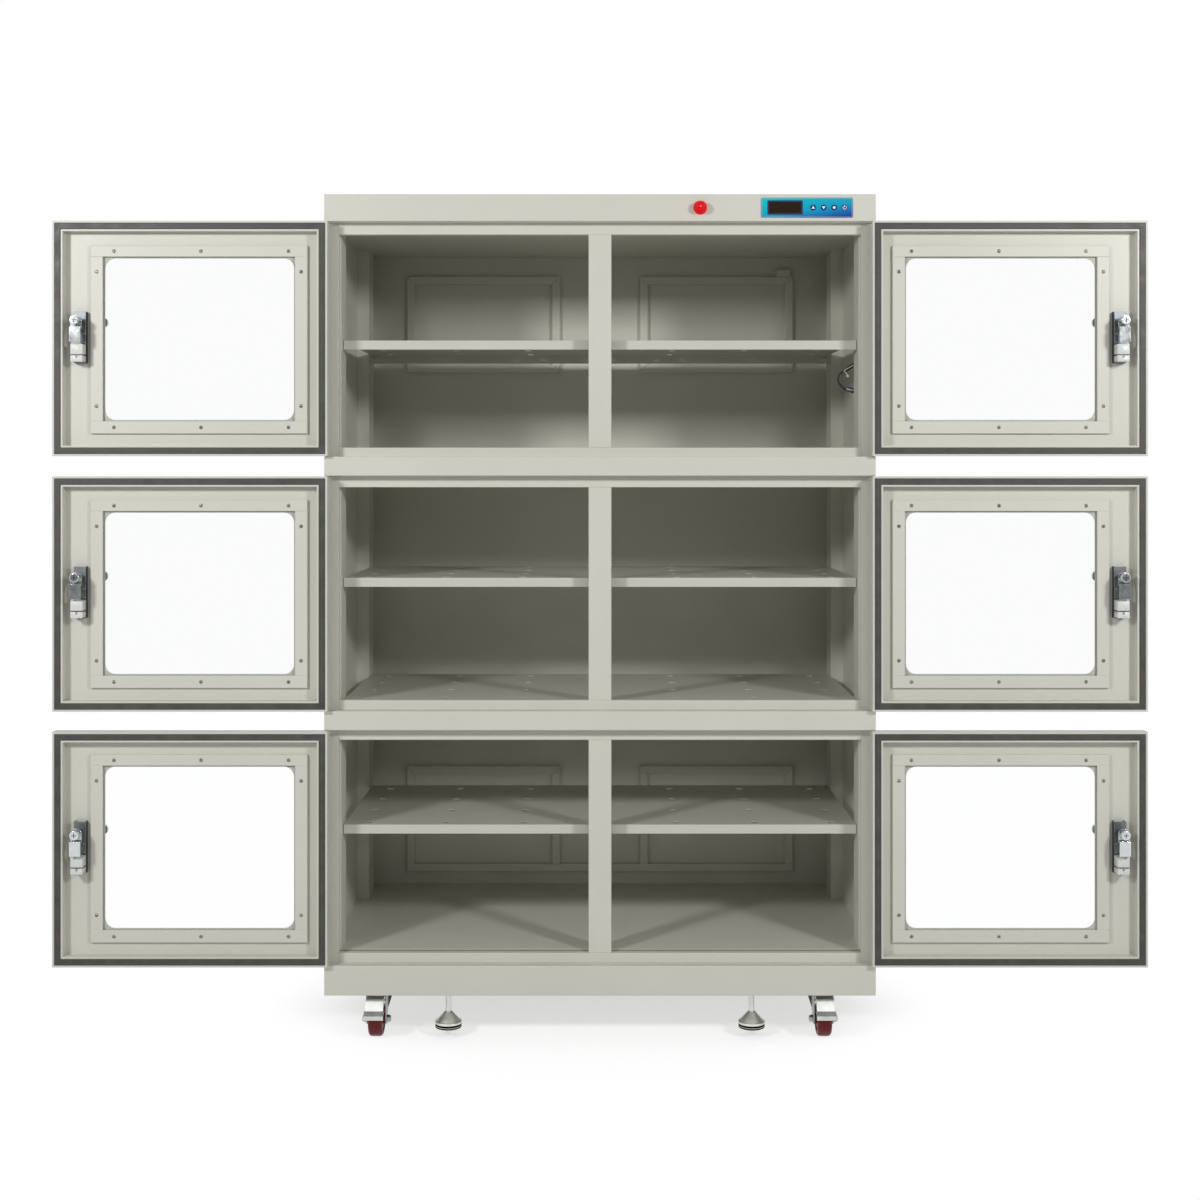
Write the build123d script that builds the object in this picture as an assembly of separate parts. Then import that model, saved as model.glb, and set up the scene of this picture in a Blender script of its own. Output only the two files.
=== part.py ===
"""Six-door dry cabinet (desiccator cabinet) on casters, doors standing open.

Millimetres. X runs left to right, Y from the front to the back and Z up from the floor.
The pieces are laid out with Y = 0 at the front of the wide bands and are moved, as they
are written, so that the origin is under the middle of the whole object.
"""
import os
from math import cos, radians, sin, tan

from build123d import *

# ---------------------------------------------------------------- driving dimensions
BODY_WIDTH = 1200.0
BODY_DEPTH = 672.0
BODY_HEIGHT = 1744.0
CLEARANCE_UNDER = 107.0        # floor to the underside of the body
SHEET = 1.5                    # body sheet steel

BOTTOM_BAND = 65.0             # heights of the four bands across the front
MID_BAND = 42.0
TOP_BAND = 59.0
BAND_EDGE = 2.0                 # rounding of the bands' long front edges
BAND_DEPTH = 30.0              # how far the bands stand in front of the door seat
LOWER_RAIL = 20.0              # seat for the gasket above each band
UPPER_RAIL = 25.0              # and below each band
STILE_WIDTH = 27.0
POST_WIDTH = 50.0
BAR_EDGE = 1.2                  # rounding of the stiles', rails' and posts' front edges
FRAME_DEPTH = 20.0             # folded depth of stiles, rails and post

FLOOR_ABOVE_RAIL = 3.0         # cabinet floor above the lowest rail
CEILING_DROP = 56.0            # inner ceiling below the top of the body

UPRIGHT_REACH = 30.0           # how far the uprights stand in from the casing's outside
FRONT_UPRIGHT_WIDTH = 91.5
REAR_UPRIGHT_START = 508.0
REAR_UPRIGHT_WIDTH = 92.0
FRONT_HOLES_AT = 87.0
REAR_HOLES_AT = 548.0
HOLE_PITCH = 25.0
HOLE_WIDTH = 4.0
HOLE_HEIGHT = 6.5
FIRST_HOLE_DROP = 83.0         # below each door opening's top edge

SHELF_LEVELS = (465.0, 743.0, 1012.0, 1297.0, 1538.0)
SHELF_FRONT = 72.0
SHELF_DEPTH = 490.0
SHELF_LIP = 20.0
SHELF_SHEET = 1.2
SHELF_GAP = 2.0                # between a shelf's end and the upright
SHELF_HOLE_ACROSS = 18.0
SHELF_HOLE_COLUMNS = (-517.0, -344.0, -172.0, 0.0, 172.0, 344.0, 517.0)
SHELF_HOLE_ROWS = (97.0, 238.0, 378.0, 514.0)
CLIP_WIDTH = 14.0
CLIP_HEIGHT = 16.0
CLIP_SHEET = 2.0
CLIP_REACH = 16.0
CLIP_LIP = 5.0

DUCT_BAR = 20.5                # mitred frames on the rear wall
DUCT_PROUD = 12.0
DUCT_EASE = 1.5
DUCT_TAB = (37.0, 18.0)        # plug cover above the right upper frame
DUCT_TAB_INSET = 6.0
DUCT_INNER = 102.0             # from the middle to a frame's near edge
DUCT_OUTER = 493.0
UPPER_DUCT = (1501.0, 1747.0)  # bottom and top of the upper frames
LOWER_DUCT = (227.0, 497.0)

DOOR_GAP = 1.0                 # between a door's top or bottom and its bands
DOOR_SPLIT = 4.0               # between the two doors when shut
DOOR_SIDE_GAP = 2.0            # casing's outside to a shut door's hinge edge
DOOR_DEPTH = 28.0
DOOR_SHEET = 1.5
DOOR_RIM = 22.5                # box section round the door's edge
DOOR_PANEL = 3.0               # outer skin and inner pan together
HINGE_FROM_EDGE = 3.5
HINGE_BACK = 6.0               # hinge axis behind the door's outer face
HINGE_PIN_ACROSS = 5.0
HINGE_PIN_CLEARANCE = 0.05
HINGE_PIN_REACH = 9.0          # into the door
HINGE_PIN_ROOT = 12.0          # into the band
HINGE_BOSS = 5.0               # half width of the bush inside the rim
HINGE_BUSH_MORE = 4.0          # bush longer than the pin's reach
HINGE_PIN_END = 1.0            # bore beyond the pin's end
HINGE_BLOCK_ACROSS = 12.0      # block that holds the pin inside the band
HINGE_BLOCK_BACK = 6.0         # its reach behind the pin's axis
RIM_EDGE = 1.2                 # rounding of the door's long outer edges
DRAIN_HOLE = 6.0
DRAIN_AT = (0.25, 0.75)        # shares of the door's width

GASKET_FROM_EDGE = 4.4
GASKET_WIDTH = 14.1
GASKET_SINK = 3.0              # groove depth in the rim
GASKET_PROUD = 1.5

WINDOW_HINGE_SIDE = 76.0       # door edge to window opening
WINDOW_LATCH_SIDE = 108.0
WINDOW_BELOW = 79.0
WINDOW_ABOVE = 79.0
WINDOW_RADIUS = 22.0
GLASS_THICK = 4.0
GLASS_LAP = 11.0               # glass edge beyond the opening
GLASS_PLAY = 0.3
STRIP_THICK = 8.0
STRIP_SIDE = 27.0
STRIP_TOP = 24.0
STRIP_BOTTOM = 27.0
STRIP_INSET = 3.0              # strip's inner edge to the window opening
STRIP_EDGE = 0.8

LATCH_FROM_EDGE = 57.0         # spindle from the door's latch edge
LATCH_ABOVE_MIDDLE = 37.0
SPINDLE_ACROSS = 12.0
SPINDLE_CLEARANCE = 0.05
CAM_LENGTH = 46.0
CAM_WIDTH = 24.0
CAM_THICK = 4.0
CAM_BEHIND_POST = 2.0          # clearance behind the centre post
CAM_HEAD = 24.0
CAM_HEAD_THICK = 6.0
CAM_JOG = 9.0                  # step of the bent cam
BRACKET_WIDTH = 26.0
BRACKET_ABOVE = 22.0
BRACKET_BELOW = 90.0
BRACKET_STAND = 16.0
BRACKET_SHEET = 2.5
BLOCK_WIDTH = 26.0
BLOCK_TOP = 50.0               # below the spindle
BLOCK_HEIGHT = 38.0
BLOCK_STAND = 24.0
BLOCK_EDGE = 1.5
BLOCK_GROOVE_AT = 0.62         # share of the block's height, from its top
BLOCK_GROOVE = (1.8, 2.0)      # height and depth
BLOCK_NOTCH = 6.0
BLOCK_NOTCH_DROP = 4.0
PLATE_WIDTH = 27.0             # escutcheon outside
PLATE_ABOVE = 22.0
PLATE_BELOW = 92.0
PLATE_THICK = 7.0
PLATE_EDGE = 2.0
KEYHOLE = (8.0, 3.0, 20.0)       # across, deep, above the plate's foot
LEVER_REACH = 54.0
LEVER_WIDTH = 22.0
LEVER_THICK = 10.0
LEVER_OFF_PLATE = 0.6
HUB_MORE = 3.0                 # hub wider than the lever

LAMP_AT = 218.0                # along the top band
LAMP_ACROSS = 30.0
LAMP_PROUD = 24.0
LAMP_RING = 5.0
LAMP_LENS = 25.0
LAMP_DOME = 9.0
LAMP_ROOT = 17.0
LAMP_ROOT_DEPTH = 16.0
PANEL_LEFT = 350.5
PANEL_WIDTH = 199.0
PANEL_HEIGHT = 43.0
PANEL_THICK = 2.0
PANEL_CASE_DEPTH = 22.0
PANEL_CASE_INSET = 6.0
DISPLAY_LEFT = 15.0            # from the overlay's left edge
DISPLAY_WIDTH = 74.0
DISPLAY_HEIGHT = 28.0
DISPLAY_SINK = 0.6
KEY_ACROSS = 12.0
KEY_FIRST = 113.0              # from the overlay's left edge
KEY_PITCH = 22.8
KEY_PROUD = 0.9
KEY_TRAVEL = 0.5
KEY_CLEARANCE = 0.3
KEY_STEM = 6.0

WHEEL_ACROSS = 75.0
WHEEL_WIDTH = 32.0
WHEEL_SHOULDER = 8.0
WHEEL_DISH = (11.0, 26.0, 2.0)   # inner and outer radius, depth
WHEEL_HUB = 22.0
HUB_PLAY = 0.5                 # hub's end to the fork leg
WHEEL_BORE = 8.0
AXLE_CLEARANCE = 0.05
CASTER_X = 494.0
CASTER_FROM_FRONT = 100.0      # swivel axis behind the front of the bands
CASTER_FROM_BACK = 76.0
CASTER_TRAIL = 34.0
CASTER_PLATE = (92.0, 64.0, 3.5)
RACE_ACROSS = 52.0
RACE_HEIGHT = 9.0
FORK_SHEET = 2.5
FORK_GAP = 4.0                 # each side of the wheel
FORK_FLANGE = 6.0              # out from each leg, along its heel edge
FORK_FLANGE_DROP = 40.0        # below the crown, where the flange runs out
FORK_EAR = 7.0                 # leg round the pedal's pin
FORK_EYE = 11.0                # leg round the axle
RACE_GAP = 0.3
NUT_ACROSS = 14.0
NUT_THICK = 9.0
NUT_EDGE = 1.5
PEDAL_PLAY = 0.5               # between the pedal and each fork leg
PEDAL_SHEET = 2.5
PEDAL_PIVOT_UP = 42.0          # above the axle
PEDAL_PIVOT_OUT = 4.0          # from the axle towards the trailing side
PEDAL_PIN = 4.0
PEDAL_PIN_CLEARANCE = 0.05
PEDAL_FACE = ((32.0, 9.0), (44.0, -13.0))   # bends of the face, out from and above the pin
PEDAL_TREAD = ((60.0, -19.0), (60.0, -27.0))  # edge of the tread and foot of its lip
PEDAL_TREAD_WIDTH = 43.0

FOOT_X = 335.0
FOOT_FROM_FRONT = 62.0
FOOT_FROM_BACK = 62.0
FOOT_LIFT = 20.0               # pad above the floor with the casters in use
FOOT_STEM = 12.0
FOOT_SOLE = 57.0               # rubber sole
FOOT_SOLE_HEIGHT = 9.0
FOOT_RIM = 59.0                # pressed rim above the sole
FOOT_RIM_HEIGHT = 6.0
FOOT_RIM_EDGE = 1.5
FOOT_CONE_BASE = 54.0
FOOT_CONE_TOP = 18.0
FOOT_CONE_HEIGHT = 19.0
FOOT_RAISE = 30.0              # screwed up from where it stands
FOOT_TOP_GAP = 2.5             # stem's end below the cabinet floor when it is right up
FOOT_NUT_ACROSS = 19.0
FOOT_NUT_HEIGHT = 10.0
FOOT_CLEARANCE = 0.2

SENSOR_LEVEL = 1504.0          # where the probe's axis meets the side sheet
SENSOR_AT = 150.0              # behind the front of the bands
PROBE_ACROSS = 9.0
PROBE_LENGTH = 46.0
PROBE_START = 9.0              # along its axis from the side sheet
PROBE_TILT = 32.0              # degrees below level
GLAND_ACROSS = 26.0
GLAND_THICK = 9.0
GLAND_DROP = 6.0
LEAD_STRAIGHT = 14.0
LEAD_ACROSS = 4.5
LEAD_LOOP = ((61.0, 1.0, 53.0), (47.0, 3.0, 69.0), (25.0, 4.0, 77.0), (0.0, 4.0, 77.0))  # off the sheet

UNIT_WIDTH = 350.0             # drying units on the back
UNIT_HEIGHT = 205.0
UNIT_DEPTH = 46.0
UNIT_BEVEL = 8.0
UNIT_LOUVRES = 7
LOUVRE_HEIGHT = 4.5
LOUVRE_PITCH = 15.0
LOUVRE_LENGTH = 150.0
INLET_AT = (515.0, 180.0)
INLET_FLANGE = (50.0, 28.0, 3.0)
INLET_BODY = (28.0, 21.0, 14.0)
INLET_WELL = (23.0, 16.0, 12.0)
INLET_CORNER = 3.0
INLET_BLADES = ((-7.0, 1.5), (0.0, -2.5), (7.0, 1.5))
INLET_BLADE = (2.0, 4.0, 11.5)

# ---------------------------------------------------------------- derived places
HALF = BODY_WIDTH / 2
BODY_BOTTOM = CLEARANCE_UNDER
BODY_TOP = BODY_BOTTOM + BODY_HEIGHT
BAY = (BODY_HEIGHT - BOTTOM_BAND - TOP_BAND - 2 * MID_BAND) / 3
SEAT = BAND_DEPTH                                   # plane the gaskets close against
BANDS = []                                          # bottom and top of each band
BAYS = []                                           # bottom and top of each door bay
level = BODY_BOTTOM
for band_height in (BOTTOM_BAND, MID_BAND, MID_BAND, TOP_BAND):
    BANDS.append((level, level + band_height))
    level += band_height
    if len(BANDS) < 4:
        BAYS.append((level, level + BAY))
        level += BAY
OPENING_X = HALF - STILE_WIDTH
FLOOR_TOP = BAYS[0][0] + LOWER_RAIL + FLOOR_ABOVE_RAIL
CEILING = BODY_TOP - CEILING_DROP
REAR_WALL = BODY_DEPTH - SHEET                      # inner face of the back sheet
UPRIGHT_X = HALF - UPRIGHT_REACH
INNER_SIDE = HALF - SHEET

DOOR_WIDTH = HALF - DOOR_SIDE_GAP - DOOR_SPLIT / 2
DOOR_HEIGHT = BAY - 2 * DOOR_GAP
HINGE_X = HALF - DOOR_SIDE_GAP - HINGE_FROM_EDGE
HINGE_Y = HINGE_BACK
LATCH_U = DOOR_WIDTH - LATCH_FROM_EDGE              # from the hinge edge
LATCH_V = DOOR_HEIGHT / 2 + LATCH_ABOVE_MIDDLE
CAM_BACK = SEAT + FRAME_DEPTH + CAM_BEHIND_POST     # depth of the cam's near face, door shut
LATCH_REACH = CAM_BACK + CAM_THICK + CAM_HEAD_THICK
FRONT_MOST = 2 * HINGE_Y - LATCH_REACH              # an open door turns its latch forwards
BACK_MOST = BODY_DEPTH + UNIT_DEPTH
CENTRE_Y = (FRONT_MOST + BACK_MOST) / 2
ROWS = ("lower", "middle", "upper")
SIDES = (("left", -1), ("right", 1))


def slab(x, y, z):
    """Box from its three (low, high) spans."""
    return Pos((x[0] + x[1]) / 2, (y[0] + y[1]) / 2, (z[0] + z[1]) / 2) * Box(
        x[1] - x[0], y[1] - y[0], z[1] - z[0])


def rod(across, span, at, axis="z"):
    """Cylinder along an axis over a span, at the two other coordinates."""
    middle = (span[0] + span[1]) / 2
    body = Cylinder(across / 2, span[1] - span[0])
    if axis == "z":
        return Pos(at[0], at[1], middle) * body
    if axis == "y":
        return Pos(at[0], middle, at[1]) * Rot(90, 0, 0) * body
    return Pos(middle, at[0], at[1]) * Rot(0, 90, 0) * body


def keep(name, pieces):
    """Write one sub-part, moved so that the origin is under the object's middle."""
    if not isinstance(pieces, (list, tuple)):
        pieces = [pieces]
    moved = [Pos(0, -CENTRE_Y, 0) * piece for piece in pieces]
    solids = [solid for piece in moved for solid in piece.solids()]
    shape = solids[0] if len(solids) == 1 else Compound(children=solids)
    export_step(shape, f"parts/{name}.step")


# ---------------------------------------------------------------- casing and front
def channel_bar(x, z, depth=FRAME_DEPTH):
    """Folded bar with its plain face forward and its back open."""
    bar = slab(x, (SEAT, SEAT + depth), z)
    bar = fillet(bar.faces().sort_by(Axis.Y)[0].edges(), BAR_EDGE)
    return bar - slab((x[0] + SHEET, x[1] - SHEET), (SEAT + SHEET, SEAT + depth),
                      (z[0] + SHEET, z[1] - SHEET))


def outer_casing():
    """Side, top, bottom and back sheets, the cabinet floor and the inner ceiling."""
    below_floor = (FLOOR_TOP - SHEET, FLOOR_TOP)
    inside = (-INNER_SIDE, INNER_SIDE)
    behind_frame = (SEAT + FRAME_DEPTH, REAR_WALL)
    sheets = [slab(sorted((side * HALF, side * INNER_SIDE)), (SEAT + FRAME_DEPTH, BODY_DEPTH),
                   (BODY_BOTTOM, BODY_TOP)) for _, side in SIDES]
    sheets.append(slab(inside, (REAR_WALL, BODY_DEPTH), (BODY_BOTTOM, BODY_TOP)))
    sheets.append(slab(inside, behind_frame, (BODY_TOP - SHEET, BODY_TOP)))
    sheets.append(slab(inside, behind_frame, (CEILING, CEILING + SHEET)))
    sheets.append(slab(inside, behind_frame, below_floor))
    base = slab(inside, behind_frame, (BODY_BOTTOM, BODY_BOTTOM + 2 * SHEET))
    for x in (-FOOT_X, FOOT_X):
        for y in foot_rows():
            base -= rod(FOOT_STEM + 2 * FOOT_CLEARANCE, (BODY_BOTTOM, BODY_BOTTOM + 2 * SHEET), (x, y))
    sheets.append(base)
    return sheets


def front_frame():
    """Four bands, the door seats between them, the centre posts and the hinge pins."""
    pieces = []
    for number, (low, high) in enumerate(BANDS):
        band = slab((-HALF, HALF), (0, SEAT), (low, high))
        band = fillet(band.edges().filter_by(Axis.X).group_by(Axis.Y)[0], BAND_EDGE)
        band -= slab((-HALF + SHEET, HALF - SHEET), (SHEET, SEAT), (low + SHEET, high - SHEET))
        if number == 3:
            band -= rod(LAMP_ROOT + 1, (0, SHEET), (LAMP_AT, (low + high) / 2), "y")
            band -= panel_cutout(low, high)
        for _, side in SIDES:
            for edge, inwards, is_open in ((low, 1, number > 0), (high, -1, number < 3)):
                if is_open:
                    boss = slab(sorted((side * (HALF - SHEET), side * (HALF - HINGE_BLOCK_ACROSS))),
                                (SHEET, HINGE_Y + HINGE_BLOCK_BACK), sorted((edge, edge + inwards * HINGE_PIN_ROOT)))
                    band += boss
        pieces.append(band)
    for _, side in SIDES:
        pieces.append(channel_bar(sorted((side * OPENING_X, side * HALF)), (BODY_BOTTOM, BODY_TOP)))
        for low, high in BAYS:
            for edge, outwards in ((low, -1), (high, 1)):
                span = sorted((edge - outwards * (DOOR_GAP + HINGE_PIN_REACH), edge))
                pin = rod(HINGE_PIN_ACROSS, span, (side * HINGE_X, HINGE_Y))
                collar = rod(HINGE_PIN_ACROSS + 3, sorted((edge, edge - outwards * DOOR_GAP * 0.7)),
                             (side * HINGE_X, HINGE_Y))
                pieces.append(pin + collar)
    crossbars = [(BODY_BOTTOM, BAYS[0][0] + LOWER_RAIL)]
    crossbars += [(BAYS[n][1] - UPPER_RAIL, BAYS[n + 1][0] + LOWER_RAIL) for n in (0, 1)]
    crossbars.append((BAYS[2][1] - UPPER_RAIL, BODY_TOP))
    for span in crossbars:
        pieces.append(channel_bar((-OPENING_X, OPENING_X), span))
    for low, high in BAYS:
        pieces.append(channel_bar((-POST_WIDTH / 2, POST_WIDTH / 2),
                                  (low + LOWER_RAIL, high - UPPER_RAIL)))
    return pieces


def hole_levels():
    """Heights of the shelf-clip holes, door opening by door opening."""
    levels = []
    for low, high in BAYS:
        level = high - UPPER_RAIL - FIRST_HOLE_DROP
        while level > low + LOWER_RAIL + HOLE_PITCH:
            levels.append(level)
            level -= HOLE_PITCH
    return levels


def shelf_uprights():
    """Perforated channels in the four corners, with the clips that carry the shelves."""
    pieces = []
    uprights = ((SEAT + FRAME_DEPTH, FRONT_UPRIGHT_WIDTH - FRAME_DEPTH, FRONT_HOLES_AT),
                (REAR_UPRIGHT_START, REAR_UPRIGHT_WIDTH, REAR_HOLES_AT))
    for _, side in SIDES:
        for start, width, holes_at in uprights:
            x = sorted((side * UPRIGHT_X, side * INNER_SIDE))
            y = (start, start + width)
            upright = slab(x, y, (FLOOR_TOP, CEILING))
            hollow_x = sorted((side * (UPRIGHT_X + SHEET), side * INNER_SIDE))
            upright -= slab(hollow_x, (y[0] + SHEET, y[1] - SHEET), (FLOOR_TOP, CEILING))
            slots = [slab(sorted((side * UPRIGHT_X, side * (UPRIGHT_X + SHEET))),
                          (holes_at - HOLE_WIDTH / 2, holes_at + HOLE_WIDTH / 2),
                          (level - HOLE_HEIGHT / 2, level + HOLE_HEIGHT / 2)) for level in hole_levels()]
            pieces.append(upright - slots)
            for shelf_top in SHELF_LEVELS:
                pieces.append(shelf_clip(side, holes_at, shelf_top))
    return pieces


def shelf_clip(side, holes_at, shelf_top):
    """Bent hook: a plate on the upright, a tongue under the shelf and a small upturned end."""
    under = shelf_top - SHELF_SHEET
    root = side * UPRIGHT_X
    tip = side * (UPRIGHT_X - CLIP_REACH)
    y = (holes_at - CLIP_WIDTH / 2, holes_at + CLIP_WIDTH / 2)
    plate = slab(sorted((root, side * (UPRIGHT_X - CLIP_SHEET))), y, (under - CLIP_HEIGHT, under))
    tongue = slab(sorted((root, tip)), y, (under - CLIP_SHEET, under))
    lip = slab(sorted((tip, side * (UPRIGHT_X - CLIP_REACH + CLIP_SHEET))), y,
               (under - CLIP_SHEET - CLIP_LIP, under))
    return plate + tongue + lip


def shelves():
    """Five full-width shelves, each with a folded lip all round and ventilation holes."""
    pieces = []
    half_length = UPRIGHT_X - SHELF_GAP
    y = (SHELF_FRONT, SHELF_FRONT + SHELF_DEPTH)
    for top in SHELF_LEVELS:
        shelf = slab((-half_length, half_length), y, (top - SHELF_LIP, top))
        shelf -= slab((-half_length, half_length), (y[0] + SHELF_SHEET, y[1] - SHELF_SHEET),
                      (top - SHELF_LIP, top - SHELF_SHEET))
        holes = [rod(SHELF_HOLE_ACROSS, (top - SHELF_SHEET, top), (x, row))
                 for x in SHELF_HOLE_COLUMNS for row in SHELF_HOLE_ROWS]
        pieces.append(shelf - holes)
    return pieces


def duct_bar(corners):
    """Flat bar on the rear wall from its four (x, z) corners, with eased front edges."""
    face = make_face(Plane.XZ * Polyline(*corners, close=True))
    bar = Pos(0, REAR_WALL, 0) * extrude(face, DUCT_PROUD, dir=(0, -1, 0))
    return chamfer(bar.faces().sort_by(Axis.Y)[0].edges(), DUCT_EASE)


def duct_frames():
    """Raised bars, mitred at their corners, round the drying units' openings."""
    bar = DUCT_BAR
    pieces = []
    for _, side in SIDES:
        near, far = side * DUCT_INNER, side * DUCT_OUTER
        near_in, far_in = near + side * bar, far - side * bar
        low, high = UPPER_DUCT
        pieces.append(duct_bar([(near, high), (far, high), (far_in, high - bar), (near_in, high - bar)]))
        pieces.append(duct_bar([(near, low), (far, low), (far_in, low + bar), (near_in, low + bar)]))
        for edge, inner in ((near, near_in), (far, far_in)):
            pieces.append(duct_bar([(edge, low), (edge, high), (inner, high - bar), (inner, low + bar)]))
        low, high = LOWER_DUCT
        pieces.append(duct_bar([(near, high), (far, high), (far_in, high - bar), (near_in, high - bar)]))
        for edge, inner in ((near, near_in), (far, far_in)):
            pieces.append(duct_bar([(edge, low + bar), (edge, high), (inner, high - bar), (inner, low + bar)]))
    low = LOWER_DUCT[0]
    pieces.append(duct_bar([(-DUCT_OUTER, low), (DUCT_OUTER, low), (DUCT_OUTER, low + bar),
                            (-DUCT_OUTER, low + bar)]))
    tab = (DUCT_OUTER - DUCT_TAB_INSET - DUCT_TAB[0], DUCT_OUTER - DUCT_TAB_INSET)
    top = UPPER_DUCT[1]
    pieces.append(duct_bar([(tab[0], top), (tab[1], top), (tab[1], top + DUCT_TAB[1]),
                            (tab[0], top + DUCT_TAB[1])]))
    return pieces


def drying_units():
    """Louvred covers of the drying units, low boxes on the back sheet."""
    pieces = []
    for _, side in SIDES:
        middle = side * (DUCT_INNER + DUCT_OUTER) / 2
        for low, high in (UPPER_DUCT, LOWER_DUCT):
            level = (low + high) / 2
            x = (middle - UNIT_WIDTH / 2, middle + UNIT_WIDTH / 2)
            z = (level - UNIT_HEIGHT / 2, level + UNIT_HEIGHT / 2)
            cover = slab(x, (BODY_DEPTH, BACK_MOST), z)
            cover = chamfer(cover.faces().sort_by(Axis.Y)[-1].edges(), UNIT_BEVEL)
            hollow = slab((x[0] + SHEET, x[1] - SHEET), (BODY_DEPTH, BACK_MOST - SHEET),
                          (z[0] + SHEET, z[1] - SHEET))
            cover -= chamfer(hollow.faces().sort_by(Axis.Y)[-1].edges(), UNIT_BEVEL)
            for row in range(UNIT_LOUVRES):
                slot = level + (row - (UNIT_LOUVRES - 1) / 2) * LOUVRE_PITCH
                cover -= slab((middle - LOUVRE_LENGTH / 2, middle + LOUVRE_LENGTH / 2),
                              (BACK_MOST - SHEET, BACK_MOST),
                              (slot - LOUVRE_HEIGHT / 2, slot + LOUVRE_HEIGHT / 2))
            pieces.append(cover)
    return pieces


def power_inlet():
    """Appliance inlet on the back: flange, recessed well and three blades."""
    x, z = INLET_AT

    def block(size, start):
        wide, tall, deep = size
        return slab((x - wide / 2, x + wide / 2), (BODY_DEPTH + start, BODY_DEPTH + start + deep),
                    (z - tall / 2, z + tall / 2))

    well = block(INLET_BODY, 0)
    body = block(INLET_FLANGE, 0) + fillet(well.edges().filter_by(Axis.Y), INLET_CORNER)
    body -= block(INLET_WELL, INLET_BODY[2] - INLET_WELL[2])
    for across, up in INLET_BLADES:
        body += Pos(across, 0, up) * block(INLET_BLADE, INLET_BODY[2] - INLET_WELL[2] - 0.5)
    return body


# ---------------------------------------------------------------- doors
def open_door(shape, side, low):
    """Turn a door piece, drawn shut on the right, open about its hinge and mirror it if left.

    Door pieces are drawn with u from the hinge edge, depth from the outer face and v from
    the door's bottom edge.
    """
    bottom = low + DOOR_GAP
    hinge_edge = HINGE_X - HINGE_FROM_EDGE
    placed = Pos(hinge_edge, 2 * HINGE_Y, bottom) * shape
    return placed if side > 0 else placed.mirror(Plane.YZ)


def door_box(u, depth, v):
    """Box in door terms: the open door's outer face looks backwards."""
    return slab(u, (-depth[1], -depth[0]), v)


def door_rod(across, depth, u, v):
    return rod(across, (-depth[1], -depth[0]), (u, v), "y")


def window_cut(depth, grow=0.0):
    """Rounded window opening through a span of depth."""
    u = (WINDOW_HINGE_SIDE - grow, DOOR_WIDTH - WINDOW_LATCH_SIDE + grow)
    v = (WINDOW_BELOW - grow, DOOR_HEIGHT - WINDOW_ABOVE + grow)
    cut = door_box(u, depth, v)
    return fillet(cut.edges().filter_by(Axis.Y), WINDOW_RADIUS)


def door_shell():
    """Folded pan with a hollow box rim, gasket groove, hinge bushes and window opening."""
    shell = door_box((0, DOOR_WIDTH), (0, DOOR_DEPTH), (0, DOOR_HEIGHT))
    shell -= door_box((DOOR_RIM, DOOR_WIDTH - DOOR_RIM), (DOOR_PANEL, DOOR_DEPTH),
                      (DOOR_RIM, DOOR_HEIGHT - DOOR_RIM))
    shell = fillet(shell.edges().filter_by(Axis.Z).group_by(Axis.Y)[-1], RIM_EDGE)
    skin = DOOR_SHEET
    hollow = door_box((skin, DOOR_WIDTH - skin), (skin, DOOR_DEPTH - skin - GASKET_SINK),
                      (skin, DOOR_HEIGHT - skin))
    hollow -= door_box((DOOR_RIM - skin, DOOR_WIDTH - DOOR_RIM + skin), (0, DOOR_DEPTH),
                       (DOOR_RIM - skin, DOOR_HEIGHT - DOOR_RIM + skin))
    bush = HINGE_PIN_REACH + HINGE_BUSH_MORE
    for v in ((0, bush), (DOOR_HEIGHT - bush, DOOR_HEIGHT)):
        hollow -= door_box((0, HINGE_FROM_EDGE + HINGE_BOSS), (0, HINGE_BACK + HINGE_BOSS), v)
    shell -= hollow
    shell -= gasket_ring(GASKET_SINK, 0.0)
    bore = HINGE_PIN_ACROSS + 2 * HINGE_PIN_CLEARANCE
    deep = HINGE_PIN_REACH + HINGE_PIN_END
    for v in ((0, deep), (DOOR_HEIGHT - deep, DOOR_HEIGHT)):
        shell -= rod(bore, v, (HINGE_FROM_EDGE, -HINGE_BACK))
    for share in DRAIN_AT:
        shell -= rod(DRAIN_HOLE, (0, skin), (DOOR_WIDTH * share, -DOOR_DEPTH / 2))
    shell -= window_cut((0, DOOR_PANEL))
    shell -= door_rod(SPINDLE_ACROSS + 2 * SPINDLE_CLEARANCE, (0, DOOR_PANEL), LATCH_U, LATCH_V)
    return shell


def gasket_ring(below, above):
    """Rectangular ring in the gasket's place, from below the rim's face to above it."""
    near = GASKET_FROM_EDGE
    far = GASKET_FROM_EDGE + GASKET_WIDTH
    depth = (DOOR_DEPTH - below, DOOR_DEPTH + above)
    ring = door_box((near, DOOR_WIDTH - near), depth, (near, DOOR_HEIGHT - near))
    return ring - door_box((far, DOOR_WIDTH - far), depth, (far, DOOR_HEIGHT - far))


def door_gasket():
    """Mitred rubber seal with a rounded face, seated in the rim's groove."""
    ring = gasket_ring(GASKET_SINK, GASKET_PROUD)
    return fillet(ring.faces().sort_by(Axis.Y)[0].edges(), GASKET_PROUD - 0.1)


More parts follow.
